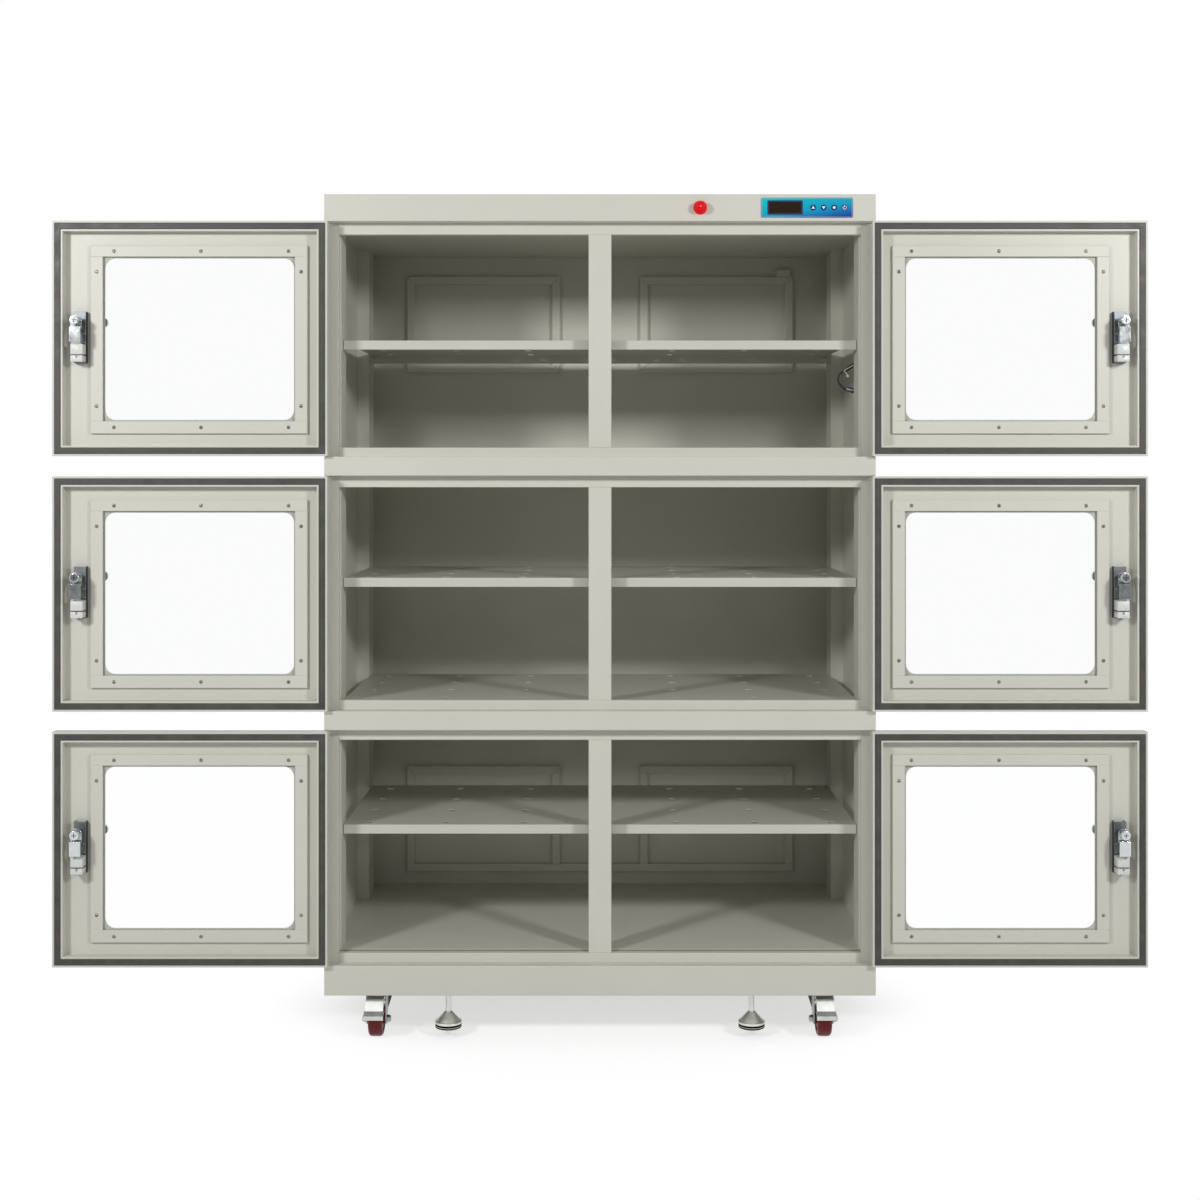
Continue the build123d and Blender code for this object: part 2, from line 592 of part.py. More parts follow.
def window_strips():
    """Four rebated strips that clamp the glass; top and bottom run the full length."""
    u = (WINDOW_HINGE_SIDE - STRIP_INSET - STRIP_SIDE,
         DOOR_WIDTH - WINDOW_LATCH_SIDE + STRIP_INSET + STRIP_SIDE)
    v = (WINDOW_BELOW - STRIP_INSET - STRIP_BOTTOM,
         DOOR_HEIGHT - WINDOW_ABOVE + STRIP_INSET + STRIP_TOP)
    depth = (DOOR_PANEL, DOOR_PANEL + STRIP_THICK)
    blanks = [door_box(u, depth, (v[0], v[0] + STRIP_BOTTOM)),
              door_box(u, depth, (v[1] - STRIP_TOP, v[1])),
              door_box((u[0], u[0] + STRIP_SIDE), depth, (v[0] + STRIP_BOTTOM, v[1] - STRIP_TOP)),
              door_box((u[1] - STRIP_SIDE, u[1]), depth, (v[0] + STRIP_BOTTOM, v[1] - STRIP_TOP))]
    rebate = glass_box(GLASS_PLAY)
    return [chamfer(blank.faces().sort_by(Axis.Y)[0].edges(), STRIP_EDGE) - rebate for blank in blanks]


def glass_box(play=0.0):
    lap = GLASS_LAP + play
    u = (WINDOW_HINGE_SIDE - lap, DOOR_WIDTH - WINDOW_LATCH_SIDE + lap)
    v = (WINDOW_BELOW - lap, DOOR_HEIGHT - WINDOW_ABOVE + lap)
    return door_box(u, (DOOR_PANEL, DOOR_PANEL + GLASS_THICK + (0.2 if play else 0)), v)


def latch_bracket():
    """Fixed latch body: escutcheon outside, a folded bracket and a clamp block inside."""
    top = LATCH_V + BRACKET_ABOVE
    bottom = LATCH_V - BRACKET_BELOW
    half = BRACKET_WIDTH / 2
    inside = DOOR_PANEL
    bracket = door_box((LATCH_U - half, LATCH_U + half), (inside, inside + BRACKET_STAND), (bottom, top))
    bracket -= door_box((LATCH_U - half + BRACKET_SHEET, LATCH_U + half - BRACKET_SHEET),
                        (inside, inside + BRACKET_STAND - BRACKET_SHEET), (bottom, top))
    bracket -= door_rod(SPINDLE_ACROSS + 2 * SPINDLE_CLEARANCE, (inside, inside + BRACKET_STAND),
                        LATCH_U, LATCH_V)
    block_top = LATCH_V - BLOCK_TOP
    face = inside + BRACKET_STAND + BLOCK_STAND
    across = (LATCH_U - BLOCK_WIDTH / 2, LATCH_U + BLOCK_WIDTH / 2)
    block = door_box(across, (inside + BRACKET_STAND, face), (block_top - BLOCK_HEIGHT, block_top))
    block = chamfer(block.faces().sort_by(Axis.Y)[0].edges(), BLOCK_EDGE)
    groove = block_top - BLOCK_HEIGHT * BLOCK_GROOVE_AT
    tall, deep = BLOCK_GROOVE
    block -= door_box(across, (face - deep, face), (groove - tall / 2, groove + tall / 2))
    block -= door_rod(BLOCK_NOTCH, (face - deep, face), LATCH_U, groove - BLOCK_NOTCH_DROP)
    plate = door_box((LATCH_U - PLATE_WIDTH / 2, LATCH_U + PLATE_WIDTH / 2), (-PLATE_THICK, 0),
                     (LATCH_V - PLATE_BELOW, LATCH_V + PLATE_ABOVE))
    plate = fillet(plate.edges().filter_by(Axis.Y), PLATE_WIDTH / 2 - 0.5)
    plate = fillet(plate.faces().sort_by(Axis.Y)[-1].edges(), PLATE_EDGE)
    plate -= door_rod(SPINDLE_ACROSS + 2 * SPINDLE_CLEARANCE, (-PLATE_THICK, 0), LATCH_U, LATCH_V)
    hole, deep, up = KEYHOLE
    plate -= door_rod(hole, (-PLATE_THICK, -PLATE_THICK + deep), LATCH_U, LATCH_V - PLATE_BELOW + up)
    return [bracket + block, plate]


def latch_handle():
    """Turning part: lever outside, spindle through the door, bent cam and its screw head."""
    lever_back = -PLATE_THICK - LEVER_OFF_PLATE
    lever_depth = (lever_back - LEVER_THICK, lever_back)
    spindle = door_rod(SPINDLE_ACROSS, (lever_depth[0] + 2, CAM_BACK + 1), LATCH_U, LATCH_V)
    hub = door_rod(LEVER_WIDTH + HUB_MORE, lever_depth, LATCH_U, LATCH_V)
    hub = fillet(hub.faces().sort_by(Axis.Y)[-1].edges(), 2.5)
    grip = door_box((LATCH_U - LEVER_REACH, LATCH_U), lever_depth,
                    (LATCH_V - LEVER_WIDTH / 2, LATCH_V + LEVER_WIDTH / 2))
    grip = fillet(grip.edges().filter_by(Axis.Y).group_by(Axis.X)[0], LEVER_WIDTH / 2 - 1)
    grip = fillet(grip.faces().sort_by(Axis.Y)[-1].edges(), 3)
    half = CAM_WIDTH / 2
    cam = door_rod(CAM_WIDTH, (CAM_BACK - CAM_JOG, CAM_BACK - CAM_JOG + CAM_THICK), LATCH_U, LATCH_V)
    jog = LATCH_V - half - 2
    cam += door_box((LATCH_U - half, LATCH_U + half), (CAM_BACK - CAM_JOG, CAM_BACK - CAM_JOG + CAM_THICK),
                    (jog - CAM_THICK, LATCH_V))
    cam += door_box((LATCH_U - half, LATCH_U + half), (CAM_BACK - CAM_JOG, CAM_BACK + CAM_THICK),
                    (jog - CAM_THICK, jog))
    cam += door_box((LATCH_U - half, LATCH_U + half), (CAM_BACK, CAM_BACK + CAM_THICK),
                    (LATCH_V - CAM_LENGTH, jog))
    head = door_rod(CAM_HEAD - 4, (CAM_BACK - CAM_JOG + CAM_THICK, LATCH_REACH), LATCH_U, LATCH_V)
    head = fillet(head.faces().sort_by(Axis.Y)[0].edges(), 1.5)
    return spindle + hub + grip + cam + head


# ---------------------------------------------------------------- controls
def panel_span():
    low, high = BANDS[3]
    middle = (low + high) / 2
    return ((PANEL_LEFT, PANEL_LEFT + PANEL_WIDTH), (middle - PANEL_HEIGHT / 2, middle + PANEL_HEIGHT / 2))


def panel_cutout(low, high):
    x, z = panel_span()
    return slab((x[0] + PANEL_CASE_INSET, x[1] - PANEL_CASE_INSET), (0, SHEET),
                (z[0] + PANEL_CASE_INSET, z[1] - PANEL_CASE_INSET))


def key_places():
    _, z = panel_span()
    middle = (z[0] + z[1]) / 2
    return [(PANEL_LEFT + KEY_FIRST + n * KEY_PITCH, middle) for n in range(4)]


def control_panel():
    """Overlay plate on its shallow case, with the display recess and the key wells."""
    x, z = panel_span()
    plate = slab(x, (-PANEL_THICK, 0), z)
    plate = fillet(plate.edges().filter_by(Axis.Y), 3)
    inset = PANEL_CASE_INSET + 0.3
    case = slab((x[0] + inset, x[1] - inset), (0, PANEL_CASE_DEPTH), (z[0] + inset, z[1] - inset))
    panel = plate + case
    middle = (z[0] + z[1]) / 2
    panel -= slab((x[0] + DISPLAY_LEFT, x[0] + DISPLAY_LEFT + DISPLAY_WIDTH),
                  (-PANEL_THICK, -PANEL_THICK + DISPLAY_SINK),
                  (middle - DISPLAY_HEIGHT / 2, middle + DISPLAY_HEIGHT / 2))
    for at in key_places():
        panel -= rod(KEY_ACROSS + 2 * KEY_CLEARANCE, (-PANEL_THICK, KEY_STEM + KEY_TRAVEL + 0.3), at, "y")
    return panel


def panel_key(at):
    """Round key with a domed face on its stem."""
    key = rod(KEY_ACROSS, (-PANEL_THICK - KEY_PROUD, KEY_STEM), at, "y")
    return fillet(key.faces().sort_by(Axis.Y)[0].edges(), KEY_PROUD * 0.7)


def alarm_lamp():
    """Beacon: threaded root through the band, a bevelled ring and a domed lens."""
    low, high = BANDS[3]
    at = (LAMP_AT, (low + high) / 2)
    ring = rod(LAMP_ACROSS, (-LAMP_RING, 0), at, "y")
    ring = chamfer(ring.faces().sort_by(Axis.Y)[0].edges(), 1.2)
    lens = rod(LAMP_LENS, (-LAMP_PROUD, -LAMP_RING), at, "y")
    lens = fillet(lens.faces().sort_by(Axis.Y)[0].edges(), LAMP_DOME)
    return ring + lens + rod(LAMP_ROOT, (0, LAMP_ROOT_DEPTH), at, "y")


# ---------------------------------------------------------------- casters and feet
def caster_places():
    back = BODY_DEPTH - CASTER_FROM_BACK
    return {(row, name): (side * CASTER_X, y, -1 if row == "front" else 1)
            for row, y in (("front", CASTER_FROM_FRONT), ("rear", back)) for name, side in SIDES}


def foot_rows():
    return (FOOT_FROM_FRONT, BODY_DEPTH - FOOT_FROM_BACK)


def caster_fork(x, y, trail):
    """Swivel race, crown and two tapered legs that hold the axle, trailing the swivel."""
    axle_z = WHEEL_ACROSS / 2
    axle = trail * CASTER_TRAIL
    race_top = BODY_BOTTOM - CASTER_PLATE[2]
    crown_top = race_top - RACE_HEIGHT
    outer = WHEEL_WIDTH / 2 + FORK_GAP + FORK_SHEET
    nose = axle + trail * (PEDAL_PIVOT_OUT + FORK_EAR)
    heel = -trail * RACE_ACROSS / 2
    leg = make_face(Plane.YZ * Polyline(
        (heel, crown_top), (nose, crown_top), (nose, axle_z + PEDAL_PIVOT_UP - FORK_EAR),
        (axle + trail * FORK_EYE, axle_z), (axle + trail * FORK_EYE / 2, axle_z - FORK_EYE),
        (axle - trail * FORK_EYE / 2, axle_z - FORK_EYE), (axle - trail * FORK_EYE, axle_z), close=True))
    fork = slab((x - outer, x + outer), sorted((y + heel, y + nose)), (crown_top - FORK_SHEET, crown_top))
    for inner in (-outer, outer - FORK_SHEET):
        fork += Pos(x + inner, y, 0) * extrude(leg, FORK_SHEET, dir=(1, 0, 0))
    low = crown_top - FORK_FLANGE_DROP
    slope = (axle - trail * FORK_EYE - heel) / (crown_top - axle_z)
    edge = [(heel + (crown_top - z) * slope, z) for z in (crown_top, low)]
    flange = make_face(Plane.YZ * Polyline(*edge, *[(out + trail * FORK_SHEET, z) for out, z in edge[::-1]],
                                           close=True))
    for side in (-1, 1):
        near, far = side * outer, side * (outer + FORK_FLANGE)
        rib = Pos(x + min(near, far), y, 0) * extrude(flange, FORK_FLANGE, dir=(1, 0, 0))
        taper = make_face(Plane.XZ * Polyline((x + near, low), (x + far, low),
                                              (x + far, crown_top - FORK_FLANGE_DROP / 2), close=True))
        fork += rib - Pos(0, y, 0) * extrude(taper, RACE_ACROSS, both=True)
    race = rod(RACE_ACROSS, (crown_top, race_top - RACE_GAP), (x, y))
    fork += chamfer(race.edges(), 1.5)
    fork += rod(WHEEL_BORE, (x - outer, x + outer), (y + axle, axle_z), "x")
    for side in (-1, 1):
        nut = rod(NUT_ACROSS, sorted((x + side * outer, x + side * (outer + NUT_THICK))), (y + axle, axle_z), "x")
        fork += chamfer(nut.faces().sort_by(Axis.X)[-1 if side > 0 else 0].edges(), NUT_EDGE)
    if trail < 0:
        fork -= rod(PEDAL_PIN + 2 * PEDAL_PIN_CLEARANCE, (x - outer, x + outer), brake_pivot(y, trail), "x")
    return fork


def caster_wheel(x, y, trail):
    """Tyre with rounded shoulders, dished sides and a bored hub."""
    axle_z = WHEEL_ACROSS / 2
    axle_y = y + trail * CASTER_TRAIL
    wheel = Cylinder(WHEEL_ACROSS / 2, WHEEL_WIDTH)
    wheel = fillet(wheel.edges(), WHEEL_SHOULDER)
    inner, outer, sink = WHEEL_DISH
    for z in (-1, 1):
        wheel -= Pos(0, 0, z * (WHEEL_WIDTH - sink) / 2) * (Cylinder(outer, sink) - Cylinder(inner, sink))
    hub = WHEEL_WIDTH + 2 * (FORK_GAP - HUB_PLAY)
    wheel += Cylinder(WHEEL_HUB / 2, hub)
    wheel -= Cylinder(WHEEL_BORE / 2 + AXLE_CLEARANCE, hub)
    return Pos(x, axle_y, axle_z) * Rot(0, 90, 0) * wheel


def brake_pivot(y, trail):
    """Middle of the pedal's pin, as (y, z)."""
    return (y + trail * (CASTER_TRAIL + PEDAL_PIVOT_OUT), WHEEL_ACROSS / 2 + PEDAL_PIVOT_UP)


def brake_pedal(x, y, trail):
    """Folded pedal: a hood in front of the wheel that ends in a wider tread with a lip."""
    pin_y, pin_z = brake_pivot(y, trail)
    width = WHEEL_WIDTH + 2 * (FORK_GAP - PEDAL_PLAY)
    outer = WHEEL_WIDTH / 2 + FORK_GAP + FORK_SHEET
    leaves = []
    for bends, across in ((((0, 0),) + PEDAL_FACE, width), (PEDAL_FACE[-1:] + PEDAL_TREAD, PEDAL_TREAD_WIDTH)):
        line = Polyline(*[(trail * out, up) for out, up in bends])
        leaf = extrude(Plane.YZ * trace(line, PEDAL_SHEET), across / 2, both=True)
        leaves.append(Pos(x, pin_y, pin_z) * leaf)
    hem = rod(2.4 * PEDAL_SHEET, (x - width / 2, x + width / 2), (pin_y, pin_z), "x")
    return leaves[0] + leaves[1] + hem + rod(PEDAL_PIN, (x - outer, x + outer), (pin_y, pin_z), "x")


def undercarriage():
    """Caster mounting plates and the hexagon nuts that hold the levelling feet."""
    long, wide, thick = CASTER_PLATE
    pieces = []
    for x, y, _ in caster_places().values():
        plate = slab((x - long / 2, x + long / 2), (y - wide / 2, y + wide / 2),
                     (BODY_BOTTOM - thick, BODY_BOTTOM))
        plate = fillet(plate.edges().filter_by(Axis.Z), 8)
        pieces.append(plate)
    for x in (-FOOT_X, FOOT_X):
        for y in foot_rows():
            nut = extrude(RegularPolygon(FOOT_NUT_ACROSS / 2, 6, major_radius=False), FOOT_NUT_HEIGHT)
            nut -= Pos(0, 0, FOOT_NUT_HEIGHT / 2) * Cylinder(FOOT_STEM / 2 + FOOT_CLEARANCE, FOOT_NUT_HEIGHT)
            pieces.append(Pos(x, y, BODY_BOTTOM - FOOT_NUT_HEIGHT) * nut)
    return pieces


def levelling_foot(x, y):
    """Stem, pressed cone with its rim and the sole, turned as one profile."""
    sole, rim, stem, edge = FOOT_SOLE / 2, FOOT_RIM / 2, FOOT_STEM / 2, FOOT_RIM_EDGE
    top = FLOOR_TOP - SHEET - FOOT_TOP_GAP - FOOT_RAISE
    rim_low = FOOT_LIFT + FOOT_SOLE_HEIGHT
    rim_top = rim_low + FOOT_RIM_HEIGHT
    cone_top = rim_top + FOOT_CONE_HEIGHT
    profile = [(0, FOOT_LIFT), (sole - edge, FOOT_LIFT), (sole, FOOT_LIFT + edge), (sole, rim_low),
               (rim - edge / 2, rim_low), (rim, rim_low + edge / 2), (rim, rim_top - edge), (rim - edge, rim_top),
               (FOOT_CONE_BASE / 2, rim_top), (FOOT_CONE_TOP / 2, cone_top), (stem, cone_top),
               (stem, top - edge), (stem - edge, top), (0, top)]
    face = make_face(Plane.XZ * Polyline(profile, close=True))
    return Pos(x, y, 0) * revolve(face, Axis.Z)


# ---------------------------------------------------------------- humidity sensor
def probe_end(distance):
    """Point on the probe's axis, this far from where it leaves the side sheet."""
    tilt = radians(PROBE_TILT)
    return (INNER_SIDE - distance * cos(tilt), SENSOR_AT, SENSOR_LEVEL - distance * sin(tilt))


def humidity_sensor():
    """Probe that slopes down from a round gland on the right-hand side sheet."""
    probe = fillet(Cylinder(PROBE_ACROSS / 2, PROBE_LENGTH).edges(), 2)
    probe = Pos(*probe_end(PROBE_START + PROBE_LENGTH / 2)) * Rot(0, 90 - PROBE_TILT, 0) * probe
    gland = rod(GLAND_ACROSS, (INNER_SIDE - GLAND_THICK, INNER_SIDE), (SENSOR_AT, SENSOR_LEVEL - GLAND_DROP), "x")
    gland = chamfer(gland.faces().sort_by(Axis.X)[0].edges(), 2)
    return probe + gland


def sensor_lead():
    """Lead from the probe's lower end, in a loop back to the side sheet."""
    start = probe_end(PROBE_START + PROBE_LENGTH)
    straight = probe_end(PROBE_START + PROBE_LENGTH + LEAD_STRAIGHT)
    route = [Vector(*start), Vector(*straight)]
    route += [Vector(INNER_SIDE - x, SENSOR_AT + y, SENSOR_LEVEL - z) for x, y, z in LEAD_LOOP]
    radii = []
    for before, corner, after in zip(route, route[1:], route[2:]):
        turn = radians((corner - before).get_angle(after - corner))
        shorter = min((corner - before).length, (after - corner).length)
        radii.append(0.45 * shorter / tan(turn / 2))
    print("lead radii", [round(r, 1) for r in radii])
    path = FilletPolyline(*route, radius=radii)
    section = Plane(path @ 0, z_dir=path % 0) * Circle(LEAD_ACROSS / 2)
    lead = sweep(section, path)
    print("lead volume", round(lead.volume), "of", round(section.area * path.length), "length", path.length)
    return lead


# ---------------------------------------------------------------- write every sub-part
os.makedirs("parts", exist_ok=True)
keep("outer_casing", outer_casing())
keep("front_frame", front_frame())
keep("shelf_uprights", shelf_uprights())
keep("shelves", shelves())
keep("duct_frames", duct_frames())
keep("drying_units", drying_units())
keep("power_inlet", power_inlet())
keep("undercarriage", undercarriage())
keep("control_panel", control_panel())
keep("alarm_lamp", alarm_lamp())
keep("humidity_sensor", humidity_sensor())
keep("sensor_lead", sensor_lead())

shut_pieces = {"door": [door_shell()] + window_strips(), "gasket": [door_gasket()],
               "glass": [glass_box()], "latch_body": latch_bracket(), "latch_handle": [latch_handle()]}
for row, (low, high) in zip(ROWS, BAYS):
    for name, side in SIDES:
        for piece, shapes in shut_pieces.items():
            keep(f"{row}_{name}_{piece}", [open_door(shape, side, low) for shape in shapes])

for (row, name), (x, y, trail) in caster_places().items():
    keep(f"{row}_{name}_caster_fork", caster_fork(x, y, trail))
    keep(f"{row}_{name}_caster_wheel", caster_wheel(x, y, trail))
    if row == "front":
        keep(f"{row}_{name}_brake_pedal", brake_pedal(x, y, trail))

for row, y in zip(("front", "rear"), foot_rows()):
    for name, side in SIDES:
        keep(f"{row}_{name}_foot", levelling_foot(side * FOOT_X, y))

for name, at in zip(("up", "down", "set", "power"), key_places()):
    keep(f"{name}_key", panel_key(at))
print("centre_y", CENTRE_Y, "front", FRONT_MOST, "back", BACK_MOST)
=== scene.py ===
# %% [markdown]
# # A dry cabinet with its six doors standing open
# The cabinet keeps parts dry behind six gasketed doors. Its shapes come from a CAD model
# that is already right, so this notebook dresses that model: finishes, fasteners, the
# control panel's print and the studio round it. Every added piece rides on the same body
# as the part that carries it, so doors, latches, wheels and keys can still move.

# %% Load the cabinet
import math

import bmesh
import bpy
from mathutils import Matrix, Vector


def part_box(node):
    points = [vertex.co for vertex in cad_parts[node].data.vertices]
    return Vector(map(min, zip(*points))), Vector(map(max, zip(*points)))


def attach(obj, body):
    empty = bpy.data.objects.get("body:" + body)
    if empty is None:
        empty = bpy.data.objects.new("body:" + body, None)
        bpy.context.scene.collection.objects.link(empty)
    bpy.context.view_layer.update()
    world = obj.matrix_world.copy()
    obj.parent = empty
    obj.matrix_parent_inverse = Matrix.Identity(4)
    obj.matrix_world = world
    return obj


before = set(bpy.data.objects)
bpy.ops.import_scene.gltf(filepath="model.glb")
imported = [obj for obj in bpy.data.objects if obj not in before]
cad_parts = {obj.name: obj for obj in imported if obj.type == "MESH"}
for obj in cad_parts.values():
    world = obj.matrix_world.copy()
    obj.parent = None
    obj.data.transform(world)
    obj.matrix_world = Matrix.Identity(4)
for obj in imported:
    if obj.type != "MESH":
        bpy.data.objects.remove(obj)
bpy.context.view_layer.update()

# %% [markdown]
# The shop drawing is in millimetres, with Y = 0 at the front of the wide bands. Blender
# works in metres with the origin under the middle of the cabinet. One small function
# turns a place on the drawing into a place in the scene, so that the numbers below are
# the ones a fitter would read off the drawing.

# %% From the drawing to the scene
MM = 0.001
FRONT_TO_MIDDLE = 334.0


def spot(x, y, z):
    """A place on the drawing, in millimetres, as a point in the scene."""
    return Vector((x * MM, (y - FRONT_TO_MIDDLE) * MM, z * MM))


ROWS = {"lower": 173.0, "middle": 727.0, "upper": 1281.0}
SIDES = {"left": -1, "right": 1}
print("first door corner", spot(591, -16, ROWS["lower"]))

# %% [markdown]
# ## The camera
# A catalogue view is taken square on, from about chest height, with a longer lens so the
# verticals stay upright. Tilting the camera would make them lean, so it stays level and
# the picture is shifted down instead, as a view camera does.

# %% Camera
camera = bpy.data.objects.new("camera", bpy.data.cameras.new("camera"))
bpy.context.scene.collection.objects.link(camera)
camera.location = spot(0.0, -3800.0, 1240.0)
camera.rotation_euler = (math.radians(90), 0.0, 0.0)
camera.data.sensor_width = 36.0
camera.data.lens = 52.4
camera.data.shift_y = -0.1042
camera.data.clip_end = 60.0
bpy.context.scene.camera = camera
bpy.context.scene.view_settings.view_transform = "Standard"
print("camera at", [round(v, 2) for v in camera.location])

# %% [markdown]
# ## The studio
# Two softboxes stand in front, one each side, a little above the top of the cabinet.
# Their crossing light draws the soft X that the middle posts throw over the shelves.
# Larger boxes would wash those shadows out, and smaller ones would cut them hard.

# %% Softboxes


def softbox(name, place, aim, size, watts):
    """A square lamp that faces a point."""
    lamp = bpy.data.lights.new(name, "AREA")
    lamp.shape = "RECTANGLE"
    lamp.size, lamp.size_y = size
    lamp.energy = watts
    holder = bpy.data.objects.new(name, lamp)
    bpy.context.scene.collection.objects.link(holder)
    holder.location = place
    holder.rotation_mode = "QUATERNION"
    holder.rotation_quaternion = (Vector(aim) - Vector(place)).to_track_quat("-Z", "Y")
    return holder


softbox("softbox_left", (-2.35, -3.1, 2.27), (-0.1, -0.3, 1.0), (0.42, 0.42), 55.0)
softbox("softbox_right", (2.32, -3.1, 2.27), (0.1, -0.3, 1.0), (0.42, 0.42), 52.0)

# %% [markdown]
# Bare metal only shows what stands round it, and in an all-white studio chrome looks
# like putty. A large dark card behind the camera gives the latches and casters
# something dark to mirror. Only mirrored rays see it, so it takes no light away.

# %% Dark card for the metals
CARD_MIDDLE = (0.0, -6.6, 1.45)
CARD_HALF = (3.7, 1.45)
CARD_TONE = (0.2, 0.21, 0.21, 1.0)
card_mesh = bpy.data.meshes.new("dark_card")
card_shape = bmesh.new()
bmesh.ops.create_grid(card_shape, x_segments=4, y_segments=4, size=1.0)
bmesh.ops.transform(
    card_shape,
    matrix=Matrix.Translation(CARD_MIDDLE) @ Matrix.Rotation(math.radians(90), 4, "X")
    @ Matrix.Diagonal((*CARD_HALF, 1.0, 1.0)),
    verts=card_shape.verts,
)
card_shape.to_mesh(card_mesh)
card_shape.free()
card = bpy.data.objects.new("dark_card", card_mesh)
bpy.context.scene.collection.objects.link(card)
for rays in ("camera", "diffuse", "transmission", "shadow", "volume_scatter"):
    setattr(card, f"visible_{rays}", False)
card_felt = bpy.data.materials.new("card_felt")
card_felt.use_nodes = True
felt = card_felt.node_tree
felt.nodes.clear()
felt_out = felt.nodes.new("ShaderNodeOutputMaterial")
felt_glow = felt.nodes.new("ShaderNodeEmission")
felt_glow.inputs["Color"].default_value = CARD_TONE
felt.links.new(felt_glow.outputs[0], felt_out.inputs["Surface"])
card_mesh.materials.append(card_felt)
print("card", [round(v, 2) for v in card.dimensions])

# %% [markdown]
# The backdrop has to be pure white without pouring light on the cabinet. The world is
# therefore white only to rays that come straight from the camera or by way of metal and
# glass. To every other ray it is a dim fill.

# %% White backdrop
world = bpy.data.worlds.new("studio_backdrop")
bpy.context.scene.world = world
world.use_nodes = True
sky = world.node_tree
sky.nodes.clear()
sky_out = sky.nodes.new("ShaderNodeOutputWorld")
sky_light = sky.nodes.new("ShaderNodeBackground")
sky_light.inputs["Color"].default_value = (1.0, 1.0, 1.0, 1.0)
sky_path = sky.nodes.new("ShaderNodeLightPath")
FILL = 0.28


def seen_rays(tree, path):
    """1 for a ray from the camera, or one that metal or glass passed on."""
    first = tree.nodes.new("ShaderNodeMath")
    first.operation = "MAXIMUM"
    tree.links.new(path.outputs["Is Camera Ray"], first.inputs[0])
    tree.links.new(path.outputs["Is Glossy Ray"], first.inputs[1])
    both = tree.nodes.new("ShaderNodeMath")
    both.operation = "MAXIMUM"
    tree.links.new(first.outputs[0], both.inputs[0])
    tree.links.new(path.outputs["Is Transmission Ray"], both.inputs[1])
    return both.outputs[0]


sky_level = sky.nodes.new("ShaderNodeMapRange")
sky_level.inputs["To Min"].default_value = FILL
sky_level.inputs["To Max"].default_value = 1.0
sky.links.new(seen_rays(sky, sky_path), sky_level.inputs["Value"])
sky.links.new(sky_level.outputs["Result"], sky_light.inputs["Strength"])
sky.links.new(sky_light.outputs["Background"], sky_out.inputs["Surface"])
print("fill level", FILL)

# %% [markdown]
# The floor is white too, yet it has to keep the soft shadow under the cabinet. A floor
# that only glows loses every shadow, and one that only reflects never quite reaches
# white. This one glows for most of its brightness and reflects the rest, and further
# out it turns into glow alone, so it melts into the backdrop.

# %% Studio floor
floor_mesh = bpy.data.meshes.new("studio_floor")
shape = bmesh.new()
bmesh.ops.create_grid(shape, x_segments=8, y_segments=8, size=9.0)
shape.to_mesh(floor_mesh)
shape.free()
floor = bpy.data.objects.new("studio_floor", floor_mesh)
bpy.context.scene.collection.objects.link(floor)

floor_paint = bpy.data.materials.new("studio_floor_paper")
floor_paint.use_nodes = True
paper = floor_paint.node_tree
paper.nodes.clear()
paper_out = paper.nodes.new("ShaderNodeOutputMaterial")
paper_body = paper.nodes.new("ShaderNodeBsdfDiffuse")
paper_body.inputs["Color"].default_value = (0.62, 0.62, 0.63, 1.0)
paper_glow = paper.nodes.new("ShaderNodeEmission")
paper_glow.inputs["Strength"].default_value = 0.6
paper_far = paper.nodes.new("ShaderNodeEmission")
paper_far.inputs["Strength"].default_value = 1.0
paper_near = paper.nodes.new("ShaderNodeAddShader")
paper_dull = paper.nodes.new("ShaderNodeBsdfDiffuse")
paper_dull.inputs["Color"].default_value = (0.8, 0.8, 0.8, 1.0)
paper_mix = paper.nodes.new("ShaderNodeMixShader")
paper_seen = paper.nodes.new("ShaderNodeMixShader")
paper_place = paper.nodes.new("ShaderNodeTexCoord")
paper_squeeze = paper.nodes.new("ShaderNodeVectorMath")
paper_squeeze.operation = "MULTIPLY"
paper_squeeze.inputs[1].default_value = (0.9, 1.2, 0.0)
paper_reach = paper.nodes.new("ShaderNodeVectorMath")
paper_reach.operation = "LENGTH"
paper_fade = paper.nodes.new("ShaderNodeMapRange")
paper_fade.interpolation_type = "SMOOTHSTEP"
paper_fade.inputs["From Min"].default_value = 0.44
paper_fade.inputs["From Max"].default_value = 0.72
paper.links.new(paper_place.outputs["Object"], paper_squeeze.inputs[0])
paper.links.new(paper_squeeze.outputs["Vector"], paper_reach.inputs[0])
paper.links.new(paper_reach.outputs["Value"], paper_fade.inputs["Value"])
paper.links.new(paper_body.outputs[0], paper_near.inputs[0])
paper.links.new(paper_glow.outputs[0], paper_near.inputs[1])
paper.links.new(paper_fade.outputs["Result"], paper_mix.inputs[0])
paper.links.new(paper_near.outputs[0], paper_mix.inputs[1])
paper.links.new(paper_far.outputs[0], paper_mix.inputs[2])
paper.links.new(seen_rays(paper, paper.nodes.new("ShaderNodeLightPath")), paper_seen.inputs[0])
paper.links.new(paper_dull.outputs[0], paper_seen.inputs[1])
paper.links.new(paper_mix.outputs[0], paper_seen.inputs[2])
paper.links.new(paper_seen.outputs[0], paper_out.inputs["Surface"])
floor_mesh.materials.append(floor_paint)
print("floor faces", len(floor_mesh.polygons))
